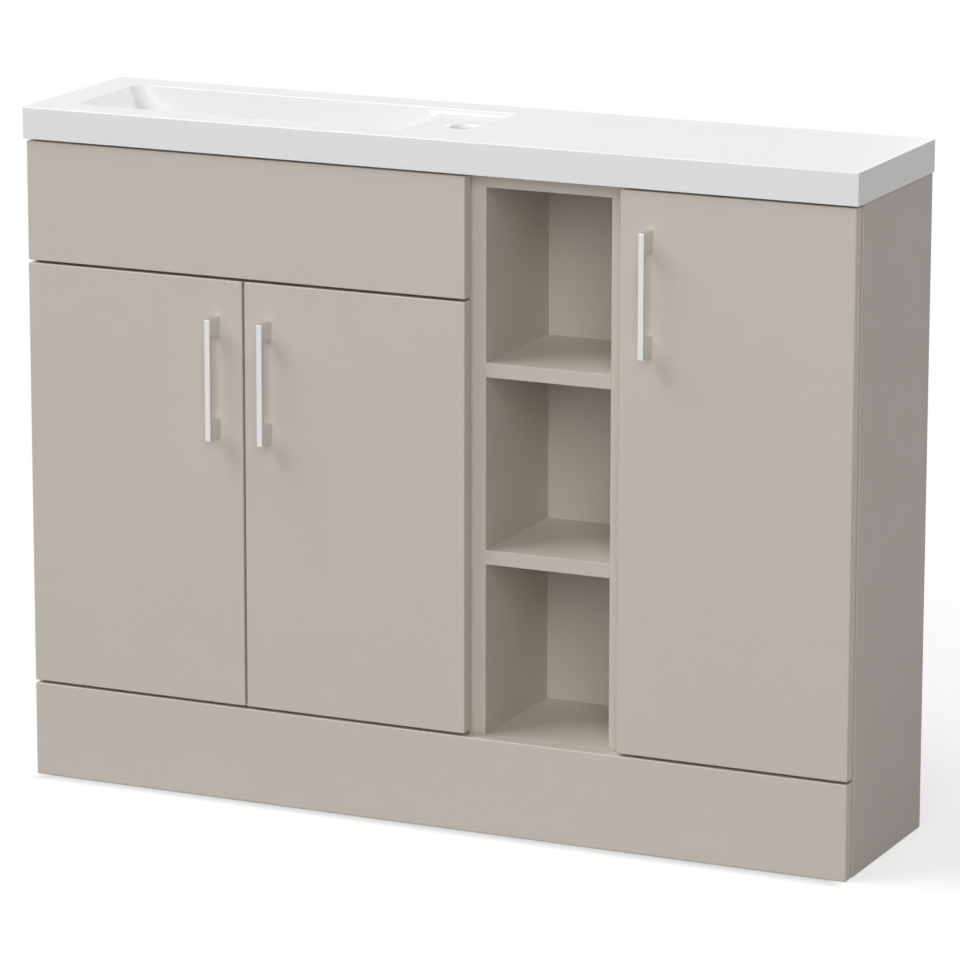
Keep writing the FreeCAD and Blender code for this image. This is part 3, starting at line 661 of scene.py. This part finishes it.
def make_front(node, body):
    """A board with rounded edges; a door also has round recesses for its two hinge cups."""
    low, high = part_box(node)
    piece = block(node + "_face", low, high)
    round_edges(piece, FRONT_ROUND, FRONT_STEPS)
    if node in DOORS:
        edge, levels = hinge_place(node)
        across = edge - DOORS[node] * CUP_SET_IN
        middle = high.y - CUP_DEPTH + (CUP_DEPTH + OVERRUN) / 2
        for level in levels:
            recess = drill((across, middle, level), CUP_RADIUS, CUP_DEPTH + OVERRUN, FACING_BACK)
            carve(piece, recess)
    smooth(piece)
    finish_piece(piece, node, body)


def make_handle():
    """The bar, cut across at its legs, which are drawn out to the door."""
    low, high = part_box("left_door_handle")
    bar_back = low.y + HANDLE_BAR
    piece = block("left_door_pull", low, (high.x, bar_back, high.z))
    legs_end = (low.z + HANDLE_LEG, high.z - HANDLE_LEG)
    for level in legs_end:
        cut_across(piece, (0, 0, level), (0, 0, 1))

    def leg_root(centre, normal):
        return normal.y > STRAIGHT and not legs_end[0] < centre.z < legs_end[1]

    pick_faces(piece, leg_root)
    draw_out((0, high.y - bar_back, 0))
    bpy.ops.object.mode_set(mode="OBJECT")
    round_edges(piece, HANDLE_ROUND, HANDLE_STEPS)
    smooth(piece)
    return piece


def make_handles():
    first = make_handle()
    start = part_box("left_door_handle")[0]
    copies = {"left_door": first}
    for door in ("right_door", "cupboard_door"):
        copy_of(first)
        bpy.ops.transform.translate(value=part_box(door + "_handle")[0] - start)
        copies[door] = settle(door + "_pull")
    for door, piece in copies.items():
        finish_piece(piece, door + "_handle", door)


# Screws and pads


def make_screw(head_radius, head_height, shank_radius, length):
    """A domed screw with a cross recess, upright with the top of its head at the origin."""
    piece = drill((0, 0, -head_height / 2), head_radius, head_height)
    pick_faces(piece, lambda middle, normal: normal.z < -STRAIGHT)
    bpy.ops.mesh.inset(thickness=head_radius - shank_radius)
    draw_out((0, 0, head_height - length))
    pick_edges(piece, level_with(0))
    round_picked(HEAD_DOME * head_height, HEAD_STEPS)
    deselect()
    long, wide = RECESS_LENGTH * head_radius, RECESS_WIDTH * head_radius
    for x, y in ((long, wide), (wide, long)):
        carve(piece, block("recess", (-x, -y, -RECESS_DEPTH * head_height), (x, y, OVERRUN)))
    smooth(piece)
    return piece


def make_pad():
    """A domed buffer, with the middle of its dome at the origin."""
    piece = drill((0, 0, -PAD_THICK / 2), PAD_RADIUS, PAD_THICK)
    pick_edges(piece, level_with(0))
    round_picked(PAD_DOME, PAD_STEPS)
    deselect()
    smooth(piece)
    return piece


def group_box(points):
    """The lowest and the highest corner of a group of points."""
    return [Vector(end(point[axis] for point in points) for axis in range(3)) for end in (min, max)]


def solids(node):
    """The points of each separate solid of a CAD node."""
    mesh = bmesh.new()
    mesh.from_mesh(frame["nodes"][node].data)
    bmesh.ops.remove_doubles(mesh, verts=mesh.verts, dist=MERGE_GAP)
    unseen = set(mesh.verts)
    found = []
    while unseen:
        group, reached = [], [unseen.pop()]
        while reached:
            point = reached.pop()
            group.append(point.co.copy())
            for edge in point.link_edges:
                other = edge.other_vert(point)
                if other in unseen:
                    unseen.remove(other)
                    reached.append(other)
        found.append(group)
    mesh.free()
    return sorted(found, key=lambda group: tuple(round(value, 4) for value in group_box(group)[0]))


def head_of(points):
    """The middle of a screw's head, and the way that it faces: its wider end."""
    low, high = group_box(points)
    size = high - low
    axis = max(range(3), key=lambda each: size[each])
    middle = (low + high) / 2
    ends = []
    for place, sign in ((low[axis], -1), (high[axis], 1)):
        at_end = [point for point in points if near(point[axis], place)]
        end_low, end_high = group_box(at_end)
        way, top = Vector((0, 0, 0)), middle.copy()
        way[axis], top[axis] = sign, place
        ends.append(((end_high - end_low).length, top, way))
    widest = max(ends, key=lambda end: end[0])
    return widest[1], widest[2]


def set_copies(first, places, name):
    """Copies a small piece to its places, each turned a little further, as one piece."""
    copies = []
    for number, (top, way) in enumerate(places):
        copy = copy_of(first)
        turn = way.to_track_quat("Z", "Y") @ Quaternion((0, 0, 1), number * SCREW_TURN)
        copy.rotation_euler = turn.to_euler()
        copy.location = top
        copies.append(settle(f"{name}_{number}"))
    return joined(copies, name)


def make_screws():
    cup_screws = (door + "_cup_screws" for door in DOORS)
    kinds = (
        (WOOD_SCREW, ("hinge_plate_screws", "bracket_screws", *cup_screws)),
        (HANDLE_SCREW, tuple(door + "_handle_screws" for door in DOORS)),
        (CONNECTING_SCREW, ("unit_connecting_screws",)),
    )
    for sizes, nodes in kinds:
        first = make_screw(*sizes)
        for node in nodes:
            places = [head_of(points) for points in solids(node)]
            body = next((door for door in DOORS if node.startswith(door)), "carcass")
            finish_piece(set_copies(first, places, node + "_cross_head"), node, body)
        bpy.data.objects.remove(first)


def make_pads():
    first = make_pad()
    for door in DOORS:
        places = []
        for points in solids(door + "_pads"):
            low, high = group_box(points)
            top = (low + high) / 2
            top.y = high.y
            places.append((top, Vector((0, 1, 0))))
        finish_piece(set_copies(first, places, door + "_domed_pads"), door + "_pads", door)
    bpy.data.objects.remove(first)


# Hinges


def make_cup():
    """The cup of the right door's lower hinge: ears and barrel, hollowed and notched."""
    low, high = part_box("right_door")
    edge, (level, _) = hinge_place("right_door")
    back, pin_y = high.y, low.y + PIN_SET_BACK
    centre = edge - CUP_SET_IN
    ears = centre - EAR_OFFSET
    floor, bottom = back - CUP_DEPTH + CUP_FLOOR, back - CUP_DEPTH
    ear_top, collar, mouth = back + EAR_THICK, back + CUP_COLLAR, back + OVERRUN
    piece = block(
        "cup",
        (ears - EAR_WIDTH / 2, back, level - EAR_LENGTH / 2),
        (ears + EAR_WIDTH / 2, ear_top, level + EAR_LENGTH / 2),
    )
    pick_edges(piece, lambda a, b: not near(a.y, b.y))
    round_picked(EAR_ROUND)
    pick_edges(piece, lambda a, b: near(a.y, ear_top) and near(b.y, ear_top))
    round_picked(SHEET_ROUND, SHEET_STEPS)
    barrel_middle = (centre, (bottom + collar) / 2, level)
    barrel = drill(barrel_middle, CUP_RADIUS - CUP_FIT, collar - bottom, FACING_BACK)
    pick_edges(barrel, lambda a, b: near(a.y, b.y))
    round_picked(SHEET_ROUND, SHEET_STEPS)
    deselect()
    weld(piece, barrel)
    hollow_middle = (centre, (floor + mouth) / 2, level)
    carve(piece, drill(hollow_middle, CUP_RADIUS - CUP_WALL, mouth - floor, FACING_BACK))
    notch = block("notch", (centre, floor, level - NOTCH_HALF), (edge, mouth, level + NOTCH_HALF))
    carve(piece, notch)
    carve(piece, drill((edge - PIN_SET_IN, pin_y, level), PIN_HOLE, PIN_HOLE_LENGTH))
    for screw_level in (level - EAR_SCREW, level + EAR_SCREW):
        hole = drill((ears, back, screw_level), SCREW_HOLE, DRILL_WALLS * EAR_THICK, FACING_BACK)
        carve(piece, hole)
    smooth(piece)
    return piece


def make_arm():
    """The arm of the same hinge: a strip cranked to its knuckle, folded to a channel behind."""
    edge, (level, _) = hinge_place("right_door")
    pin_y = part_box("right_door")[0].y + PIN_SET_BACK
    carcass_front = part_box("vanity_right_side")[0].y
    end, channel = carcass_front + ARM_REACH, carcass_front + CHANNEL_START
    near_face, far_face = edge - ARM_SET_IN, edge - ARM_SET_IN - ARM_THICK
    crank = (pin_y - ARM_THICK / 2, pin_y + ARM_THICK / 2)
    piece = block("arm", (far_face, crank[0], level - ARM_HALF), (near_face, end, level + ARM_HALF))
    for place in (crank[1], channel):
        cut_across(piece, (0, place, 0), (0, 1, 0))
    pick_faces(piece, lambda middle, normal: normal.x > STRAIGHT and middle.y < crank[1])
    draw_out((ARM_SET_IN - PIN_SET_IN, 0, 0))
    for way in (-1, 1):
        pick_faces(piece, lambda middle, normal: normal.z * way > STRAIGHT and middle.y > channel)
        for growth in (CHANNEL_CLEAR, CHANNEL_WALL):
            draw_out((0, 0, way * growth))

    def fold(middle, normal):
        return normal.x > STRAIGHT and abs(middle.z - level) > ARM_HALF + CHANNEL_CLEAR

    pick_faces(piece, fold)
    draw_out((CHANNEL_DROP, 0, 0))
    bpy.ops.mesh.select_all(action="SELECT")
    bpy.ops.mesh.dissolve_limited(angle_limit=FLAT_ANGLE)

    def bend(x, y):
        return lambda a, b: all(near(point.x, x) and near(point.y, y) for point in (a, b))

    pick_edges(piece, bend(far_face, crank[0]))
    round_picked(ARM_BEND + ARM_THICK)
    pick_edges(piece, bend(near_face, crank[1]))
    round_picked(ARM_BEND)
    deselect()
    round_edges(piece, ARM_EDGE, ARM_STEPS)
    weld(piece, drill((edge - PIN_SET_IN, pin_y, level), KNUCKLE_RADIUS, KNUCKLE_HEIGHT))
    carve(piece, drill((edge - PIN_SET_IN, pin_y, level), PIN_HOLE, PIN_HOLE_LENGTH))
    smooth(piece)
    adjuster = make_screw(*ADJUSTING_SCREW)
    top = far_face - ADJUSTING_SCREW[1]
    outwards = Vector((-1, 0, 0))
    places = [(Vector((top, carcass_front + place, level)), outwards) for place in ADJUSTERS]
    adjusters = set_copies(adjuster, places, "adjusters")
    bpy.data.objects.remove(adjuster)
    return joined([piece, adjusters], "arm")


def make_plate():
    """The plate of the same hinge: two wings with round ends, and the ridge under the arm."""
    edge, (level, _) = hinge_place("right_door")
    carcass_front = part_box("vanity_right_side")[0].y
    middle = carcass_front + PLATE_MIDDLE
    rises = (0, PLATE_THICK, ARM_SET_IN - PLATE_SET_IN)
    seat, wing, ridge = (edge - PLATE_SET_IN - rise for rise in rises)
    piece = block(
        "plate",
        (wing, middle - PLATE_HALF_WIDTH, level - PLATE_HALF_LENGTH),
        (seat, middle + PLATE_HALF_WIDTH, level + PLATE_HALF_LENGTH),
    )
    pick_edges(piece, lambda a, b: not near(a.x, b.x))
    round_picked(PLATE_ROUND)
    pick_edges(piece, lambda a, b: near(a.x, wing) and near(b.x, wing))
    round_picked(SHEET_ROUND, SHEET_STEPS)
    rail = block(
        "ridge",
        (ridge, carcass_front + RIDGE_START, level - ARM_HALF),
        (seat, carcass_front + ARM_REACH, level + ARM_HALF),
    )
    pick_edges(rail, lambda a, b: near(a.x, ridge) and near(b.x, ridge))
    round_picked(SHEET_ROUND, SHEET_STEPS)
    deselect()
    weld(piece, rail)
    for screw_level in (level - PLATE_SCREW, level + PLATE_SCREW):
        hole = drill((seat, middle, screw_level), SCREW_HOLE, DRILL_WALLS * PLATE_THICK, FACING_SIDE)
        carve(piece, hole)
    smooth(piece)
    return piece


def set_hinges(first, name, node, rides_door):
    """Copies a hinge piece to both hinges of each door; a left hinge is turned end for end."""
    first_edge, (first_level, _) = hinge_place("right_door")
    for door, hinge_side in DOORS.items():
        edge, levels = hinge_place(door)
        copies = []
        for level in levels:
            copy_of(first)
            if hinge_side < 0:
                pivot = (first_edge, 0, first_level)
                bpy.ops.transform.rotate(value=math.pi, orient_axis="Y", center_override=pivot)
            bpy.ops.transform.translate(value=(edge - first_edge, 0, level - first_level))
            copies.append(settle(name))
        body = door if rides_door else "carcass"
        finish_piece(joined(copies, f"{door}_{name}"), f"{door}_{node}", body)
    bpy.data.objects.remove(first)


def make_hinges():
    set_hinges(make_cup(), "pressed_cups", "hinge_cups", True)
    set_hinges(make_arm(), "cranked_arms", "hinge_arms", False)
    set_hinges(make_plate(), "mounting_plates", "hinge_plates", False)


# The casting


def in_basin(point):
    across = BASIN_LEFT - OVERRUN < point.x < BASIN_RIGHT + OVERRUN
    return across and BASIN_FRONT - OVERRUN < point.y < BASIN_BACK + OVERRUN


def side_at(level, axis, place):
    """A test for the points of one side of the basin at one level."""
    return lambda point: near(point.z, level) and near(point[axis], place) and in_basin(point)


def basin_sides(level, taken, part):
    """The left, front and back side of a sunk field, with the way that each is drawn in."""
    return (
        (side_at(level, 0, BASIN_LEFT + LEFT_DRAFT * taken), (LEFT_DRAFT * part, 0, 0)),
        (side_at(level, 1, BASIN_FRONT + SIDE_DRAFT * taken), (0, SIDE_DRAFT * part, 0)),
        (side_at(level, 1, BASIN_BACK - SIDE_DRAFT * taken), (0, -SIDE_DRAFT * part, 0)),
    )


def sink(piece, field, depth, sides):
    """Presses a field of faces down; each side of it is then drawn in by its draft."""
    pick_faces(piece, field)
    draw_out((0, 0, -depth))
    for side, way in sides:
        shift_points(piece, side, way)


def make_slab():
    """The slab, cut into fields along the sides of the basin and the edge of the deck."""
    piece = block("moulded_worktop", (casting_low.x, casting_low.y, UNDERSIDE), casting_high)
    for place in (BASIN_LEFT, DECK_EDGE, BASIN_RIGHT):
        cut_across(piece, (place, 0, 0), (1, 0, 0))
    for place in (BASIN_FRONT, BASIN_BACK):
        cut_across(piece, (0, place, 0), (0, 1, 0))
    return piece


def sink_basin(piece):
    """Sinks the whole basin to the deck, then the bowl from the deck to its floor."""

    def whole_basin(middle, normal):
        return normal.z > STRAIGHT and in_basin(middle)

    def bowl_field(middle, normal):
        return normal.z > STRAIGHT and near(middle.z, DECK_LEVEL) and middle.x < DECK_EDGE

    sink(piece, whole_basin, DECK_DEPTH, basin_sides(DECK_LEVEL, 0, DECK_SHARE))
    right_side = (side_at(BOWL_FLOOR, 0, DECK_EDGE), (BOWL_END - DECK_EDGE, 0, 0))
    bowl_sides = (*basin_sides(BOWL_FLOOR, DECK_SHARE, 1 - DECK_SHARE), right_side)
    sink(piece, bowl_field, BOWL_DEPTH - DECK_DEPTH, bowl_sides)


def draw_shell(piece):
    """Draws the shell round the bowl down from the underside; its left end follows the slope."""

    def shell_field(middle, normal):
        across = BASIN_LEFT < middle.x < DECK_EDGE
        return normal.z < -STRAIGHT and across and BASIN_FRONT < middle.y < BASIN_BACK

    def foot(axis, place):
        return lambda point: near(point.z, SHELL_BOTTOM) and near(point[axis], place)

    depth = UNDERSIDE - SHELL_BOTTOM
    slope_start = LEFT_DRAFT * (1 - depth / BOWL_DEPTH) - BOWL_WALL
    sides = (
        (foot(0, BASIN_LEFT), (LEFT_DRAFT - BOWL_WALL, 0, 0)),
        (side_at(UNDERSIDE, 0, BASIN_LEFT), (slope_start, 0, 0)),
        (foot(0, DECK_EDGE), (BOWL_END + BOWL_WALL - DECK_EDGE, 0, 0)),
        (foot(1, BASIN_FRONT), (0, SIDE_DRAFT - BOWL_WALL, 0)),
        (foot(1, BASIN_BACK), (0, BOWL_WALL - SIDE_DRAFT, 0)),
    )
    sink(piece, shell_field, depth, sides)


def clear_spare_lines(piece):
    """Takes out the lines that the two sunk fields leave on the walls of the basin."""

    def spare_line(a, b):
        if near(a.x, DECK_EDGE) and near(b.x, DECK_EDGE):
            return near(a.z, TOP_LEVEL) != near(b.z, TOP_LEVEL) and min(a.z, b.z) > BOWL_FLOOR
        return level_with(DECK_LEVEL)(a, b) and max(a.x, b.x) < DECK_EDGE + OVERRUN

    pick_edges(piece, spare_line)
    bpy.ops.mesh.dissolve_edges(use_verts=True)


def hollow_slope(piece):
    """Cuts the bowl's left slope across, then moves each cut outwards, most at half depth."""

    def slope_field(middle, normal):
        return in_basin(middle) and normal.x > LEANING and normal.z > LEANING

    levels = {part: TOP_LEVEL - part * BOWL_DEPTH for part in SLOPE_CUTS}
    for level in levels.values():
        pick_faces(piece, slope_field)
        bpy.ops.mesh.bisect(plane_co=(0, 0, level), plane_no=(0, 0, 1))
    for part, level in levels.items():
        hollow = SLOPE_HOLLOW * part * (1 - part)
        shift_points(piece, lambda p: near(p.z, level) and in_basin(p), (-hollow, 0, 0))


def round_corners(piece):
    """The first round: the corners of the slope, the deck and the shell."""

    def slope_corner(a, b):
        slope_end = BASIN_LEFT + LEFT_DRAFT + OVERRUN
        inside = in_basin(a) and in_basin(b) and max(a.x, b.x) < slope_end
        return inside and min(a.z, b.z) > BOWL_FLOOR - OVERRUN and not near(a.z, b.z)

    corners = (
        (slope_corner, BOWL_CORNER),
        (between(TOP_LEVEL, DECK_LEVEL), DECK_CORNER),
        (between(UNDERSIDE, SHELL_BOTTOM), BOWL_CORNER),
    )
    for test, width in corners:
        pick_edges(piece, test)
        round_picked(width)


def round_lines(piece):
    """The second round: the other edges together, each by its share of the widest rounding."""

    def rim(a, b):
        return level_with(TOP_LEVEL)(a, b) and in_basin(a) and in_basin(b)

    def deck_step(a, b):
        return level_with(DECK_LEVEL)(a, b) and near(a.x, DECK_EDGE) and near(b.x, DECK_EDGE)

    def deck_foot(a, b):
        return level_with(DECK_LEVEL)(a, b) and not deck_step(a, b)

    def slab_edge(a, b):
        ends = (
            (casting_low.x, casting_high.x), (casting_low.y, casting_high.y), (UNDERSIDE, TOP_LEVEL),
        )
        shared = [
            any(near(a[axis], end) and near(b[axis], end) for end in ends[axis]) for axis in range(3)
        ]
        return sum(shared) == 2

    def lower_arris(a, b):
        return slab_edge(a, b) and level_with(UNDERSIDE)(a, b)

    def other_slab_edge(a, b):
        return slab_edge(a, b) and not lower_arris(a, b)

    rounds = (
        (rim, RIM_ROUND),
        (deck_step, STEP_ROUND),
        (deck_foot, DECK_FOOT_ROUND),
        (between(DECK_LEVEL, BOWL_FLOOR), BOWL_CORNER),
        (level_with(BOWL_FLOOR), BOWL_FOOT_ROUND),
        (level_with(SHELL_BOTTOM), BOWL_FOOT_ROUND),
        (other_slab_edge, SLAB_ROUND),
        (lower_arris, SLAB_ARRIS),
    )
    for test, width in rounds:
        pick_edges(piece, test)
        bpy.ops.transform.edge_bevelweight(value=width / BOWL_CORNER)
    bpy.ops.object.mode_set(mode="OBJECT")
    round_edges(piece, BOWL_CORNER, ROUND_STEPS, "WEIGHT")


def bore_holes(piece):
    """Bores the tap hole and the waste hole, then rounds their upper rims."""
    tap = (BASIN_RIGHT - TAP_FROM_END, BASIN_BACK - TAP_FROM_BACK)
    waste = ((BASIN_LEFT + LEFT_DRAFT + BOWL_END) / 2, (BASIN_FRONT + BASIN_BACK) / 2)
    carve(piece, drill((*tap, UNDERSIDE), TAP_RADIUS, 2 * SLAB_THICK))
    carve(piece, drill((*waste, BOWL_FLOOR), WASTE_RADIUS, DRILL_WALLS * BOWL_WALL))
    holes = (
        (tap, TAP_RADIUS, DECK_LEVEL, TAP_ROUND),
        (waste, WASTE_RADIUS, BOWL_FLOOR, WASTE_ROUND),
    )
    for (x, y), radius, level, easing in holes:
        def hole_rim(a, b):
            on_rim = all(near(math.hypot(p.x - x, p.y - y), radius) for p in (a, b))
            return on_rim and level_with(level)(a, b)

        pick_edges(piece, hole_rim)
        round_picked(easing, HOLE_STEPS)
        bpy.ops.object.mode_set(mode="OBJECT")


def hollow_underside(piece):
    """Hollows the slab from below, over the open unit and over the cupboard."""
    front, back = casting_low.y + HOLLOW_MARGIN, casting_high.y - HOLLOW_MARGIN
    for unit in ("open", "cupboard"):
        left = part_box(unit + "_left_side")[0].x + HOLLOW_MARGIN
        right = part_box(unit + "_right_side")[1].x - HOLLOW_MARGIN
        hollow_low = (left, front, UNDERSIDE - OVERRUN)
        hollow_high = (right, back, TOP_LEVEL - TOP_SKIN)
        carve(piece, block("hollow", hollow_low, hollow_high))


def make_worktop():
    """The casting: deck and bowl are sunk into a slab, rounded in two rounds, then bored."""
    piece = make_slab()
    sink_basin(piece)
    draw_shell(piece)
    clear_spare_lines(piece)
    hollow_slope(piece)
    round_corners(piece)
    round_lines(piece)
    bore_holes(piece)
    hollow_underside(piece)
    smooth(piece)
    finish_piece(piece, "worktop_basin", "carcass")


for door in DOORS:
    make_front(door, door)
for board in ("fixed_front_panel", "plinth", "vanity_left_side", "cupboard_right_side"):
    make_front(board, "carcass")
make_handles()
make_hinges()
make_screws()
make_pads()
make_worktop()


# Floor, light and camera


def seen_ray(tree):
    """1 for what the camera, gloss or glass sees, 0 for light that spreads."""
    path = add(tree, "ShaderNodeLightPath").outputs
    first = maths(tree, "MAXIMUM", path["Is Camera Ray"], path["Is Glossy Ray"])
    return maths(tree, "MAXIMUM", first, path["Is Transmission Ray"])


def clear_of_unit(tree, place):
    """The lift of the floor's white: none under the unit, full beside it."""
    half = ((cad_high.x - cad_low.x) / 2, (cad_high.y - cad_low.y) / 2, 0)
    middle = ((cad_high.x + cad_low.x) / 2, (cad_high.y + cad_low.y) / 2, 0)
    from_middle = vectors(tree, "SUBTRACT", place, middle)[0]
    distance = vectors(tree, "ABSOLUTE", from_middle)[0]
    past = vectors(tree, "SUBTRACT", distance, half)[0]
    sides = add(tree, "ShaderNodeSeparateXYZ", {0: past}).outputs
    links = {
        "Value": maths(tree, "MAXIMUM", sides[0], sides[1]),
        "From Min": -LIFT_MARGIN, "From Max": 0.0, "To Min": 0.0, "To Max": FLOOR_LIFT,
    }
    return add(tree, "ShaderNodeMapRange", links).outputs["Result"]


def make_floor():
    """A floor that takes the unit's shadow close by and is plain white further off."""
    deselect()
    bpy.ops.mesh.primitive_plane_add(size=FLOOR_SIZE, location=(0, 0, 0))
    floor = settle("floor")
    finish, tree = blank_finish("white_floor")
    seen = seen_ray(tree)
    place = object_place(tree)
    matt = add(tree, "ShaderNodeBsdfDiffuse", {"Color": FLOOR_GREY}).outputs[0]
    lift = maths(tree, "MULTIPLY", seen, clear_of_unit(tree, place))
    glow = add(tree, "ShaderNodeEmission", {"Strength": lift}).outputs[0]
    close_by = add(tree, "ShaderNodeAddShader", {0: matt, 1: glow}).outputs[0]
    far_off = add(tree, "ShaderNodeEmission", {"Strength": 1.0}).outputs[0]
    away = vectors(tree, "LENGTH", place)["Value"]
    fade = add(
        tree, "ShaderNodeMapRange",
        {"Value": away, "From Min": FADE_START, "From Max": FADE_END},
        interpolation_type="SMOOTHSTEP",
    )
    share = maths(tree, "MULTIPLY", fade.outputs["Result"], seen)
    mixed = add(tree, "ShaderNodeMixShader", {0: share, 1: close_by, 2: far_off})
    add(tree, "ShaderNodeOutputMaterial", {"Surface": mixed.outputs[0]})
    floor.data.materials.append(finish)


def make_world():
    world = bpy.data.worlds.new("studio")
    bpy.context.scene.world = world
    world.use_nodes = True
    tree = world.node_tree
    tree.nodes.clear()
    links = {"Value": seen_ray(tree), "To Min": SKY_SPREAD, "To Max": SKY_SEEN}
    level = add(tree, "ShaderNodeMapRange", links).outputs["Result"]
    sky = add(tree, "ShaderNodeBackground", {"Color": SKY_WHITE, "Strength": level})
    add(tree, "ShaderNodeOutputWorld", {"Surface": sky.outputs[0]})


def make_lamp(name, place, power):
    """A large soft lamp, turned to the middle of the unit."""
    aim = (cad_low + cad_high) / 2
    lamp = bpy.data.lights.new(name, "AREA")
    lamp.size = LAMP_SIZE
    lamp.energy = power
    holder = bpy.data.objects.new(name, lamp)
    bpy.context.collection.objects.link(holder)
    holder.location = place
    holder.rotation_euler = (aim - Vector(place)).to_track_quat("-Z", "Y").to_euler()


def make_camera():
    lens = bpy.data.cameras.new("camera")
    lens.sensor_width = SENSOR_WIDTH
    lens.lens = FOCAL_LENGTH
    lens.shift_x, lens.shift_y = LENS_SHIFT
    lens.clip_end = VIEW_END
    camera = bpy.data.objects.new("camera", lens)
    bpy.context.collection.objects.link(camera)
    camera.location = CAMERA_PLACE
    camera.rotation_euler = (CAMERA_TILT, 0, CAMERA_TURN)
    bpy.context.scene.camera = camera


make_floor()
make_world()
for name, place, power in LAMPS:
    make_lamp(name, place, power)
make_camera()
bpy.context.scene.view_settings.view_transform = "Standard"
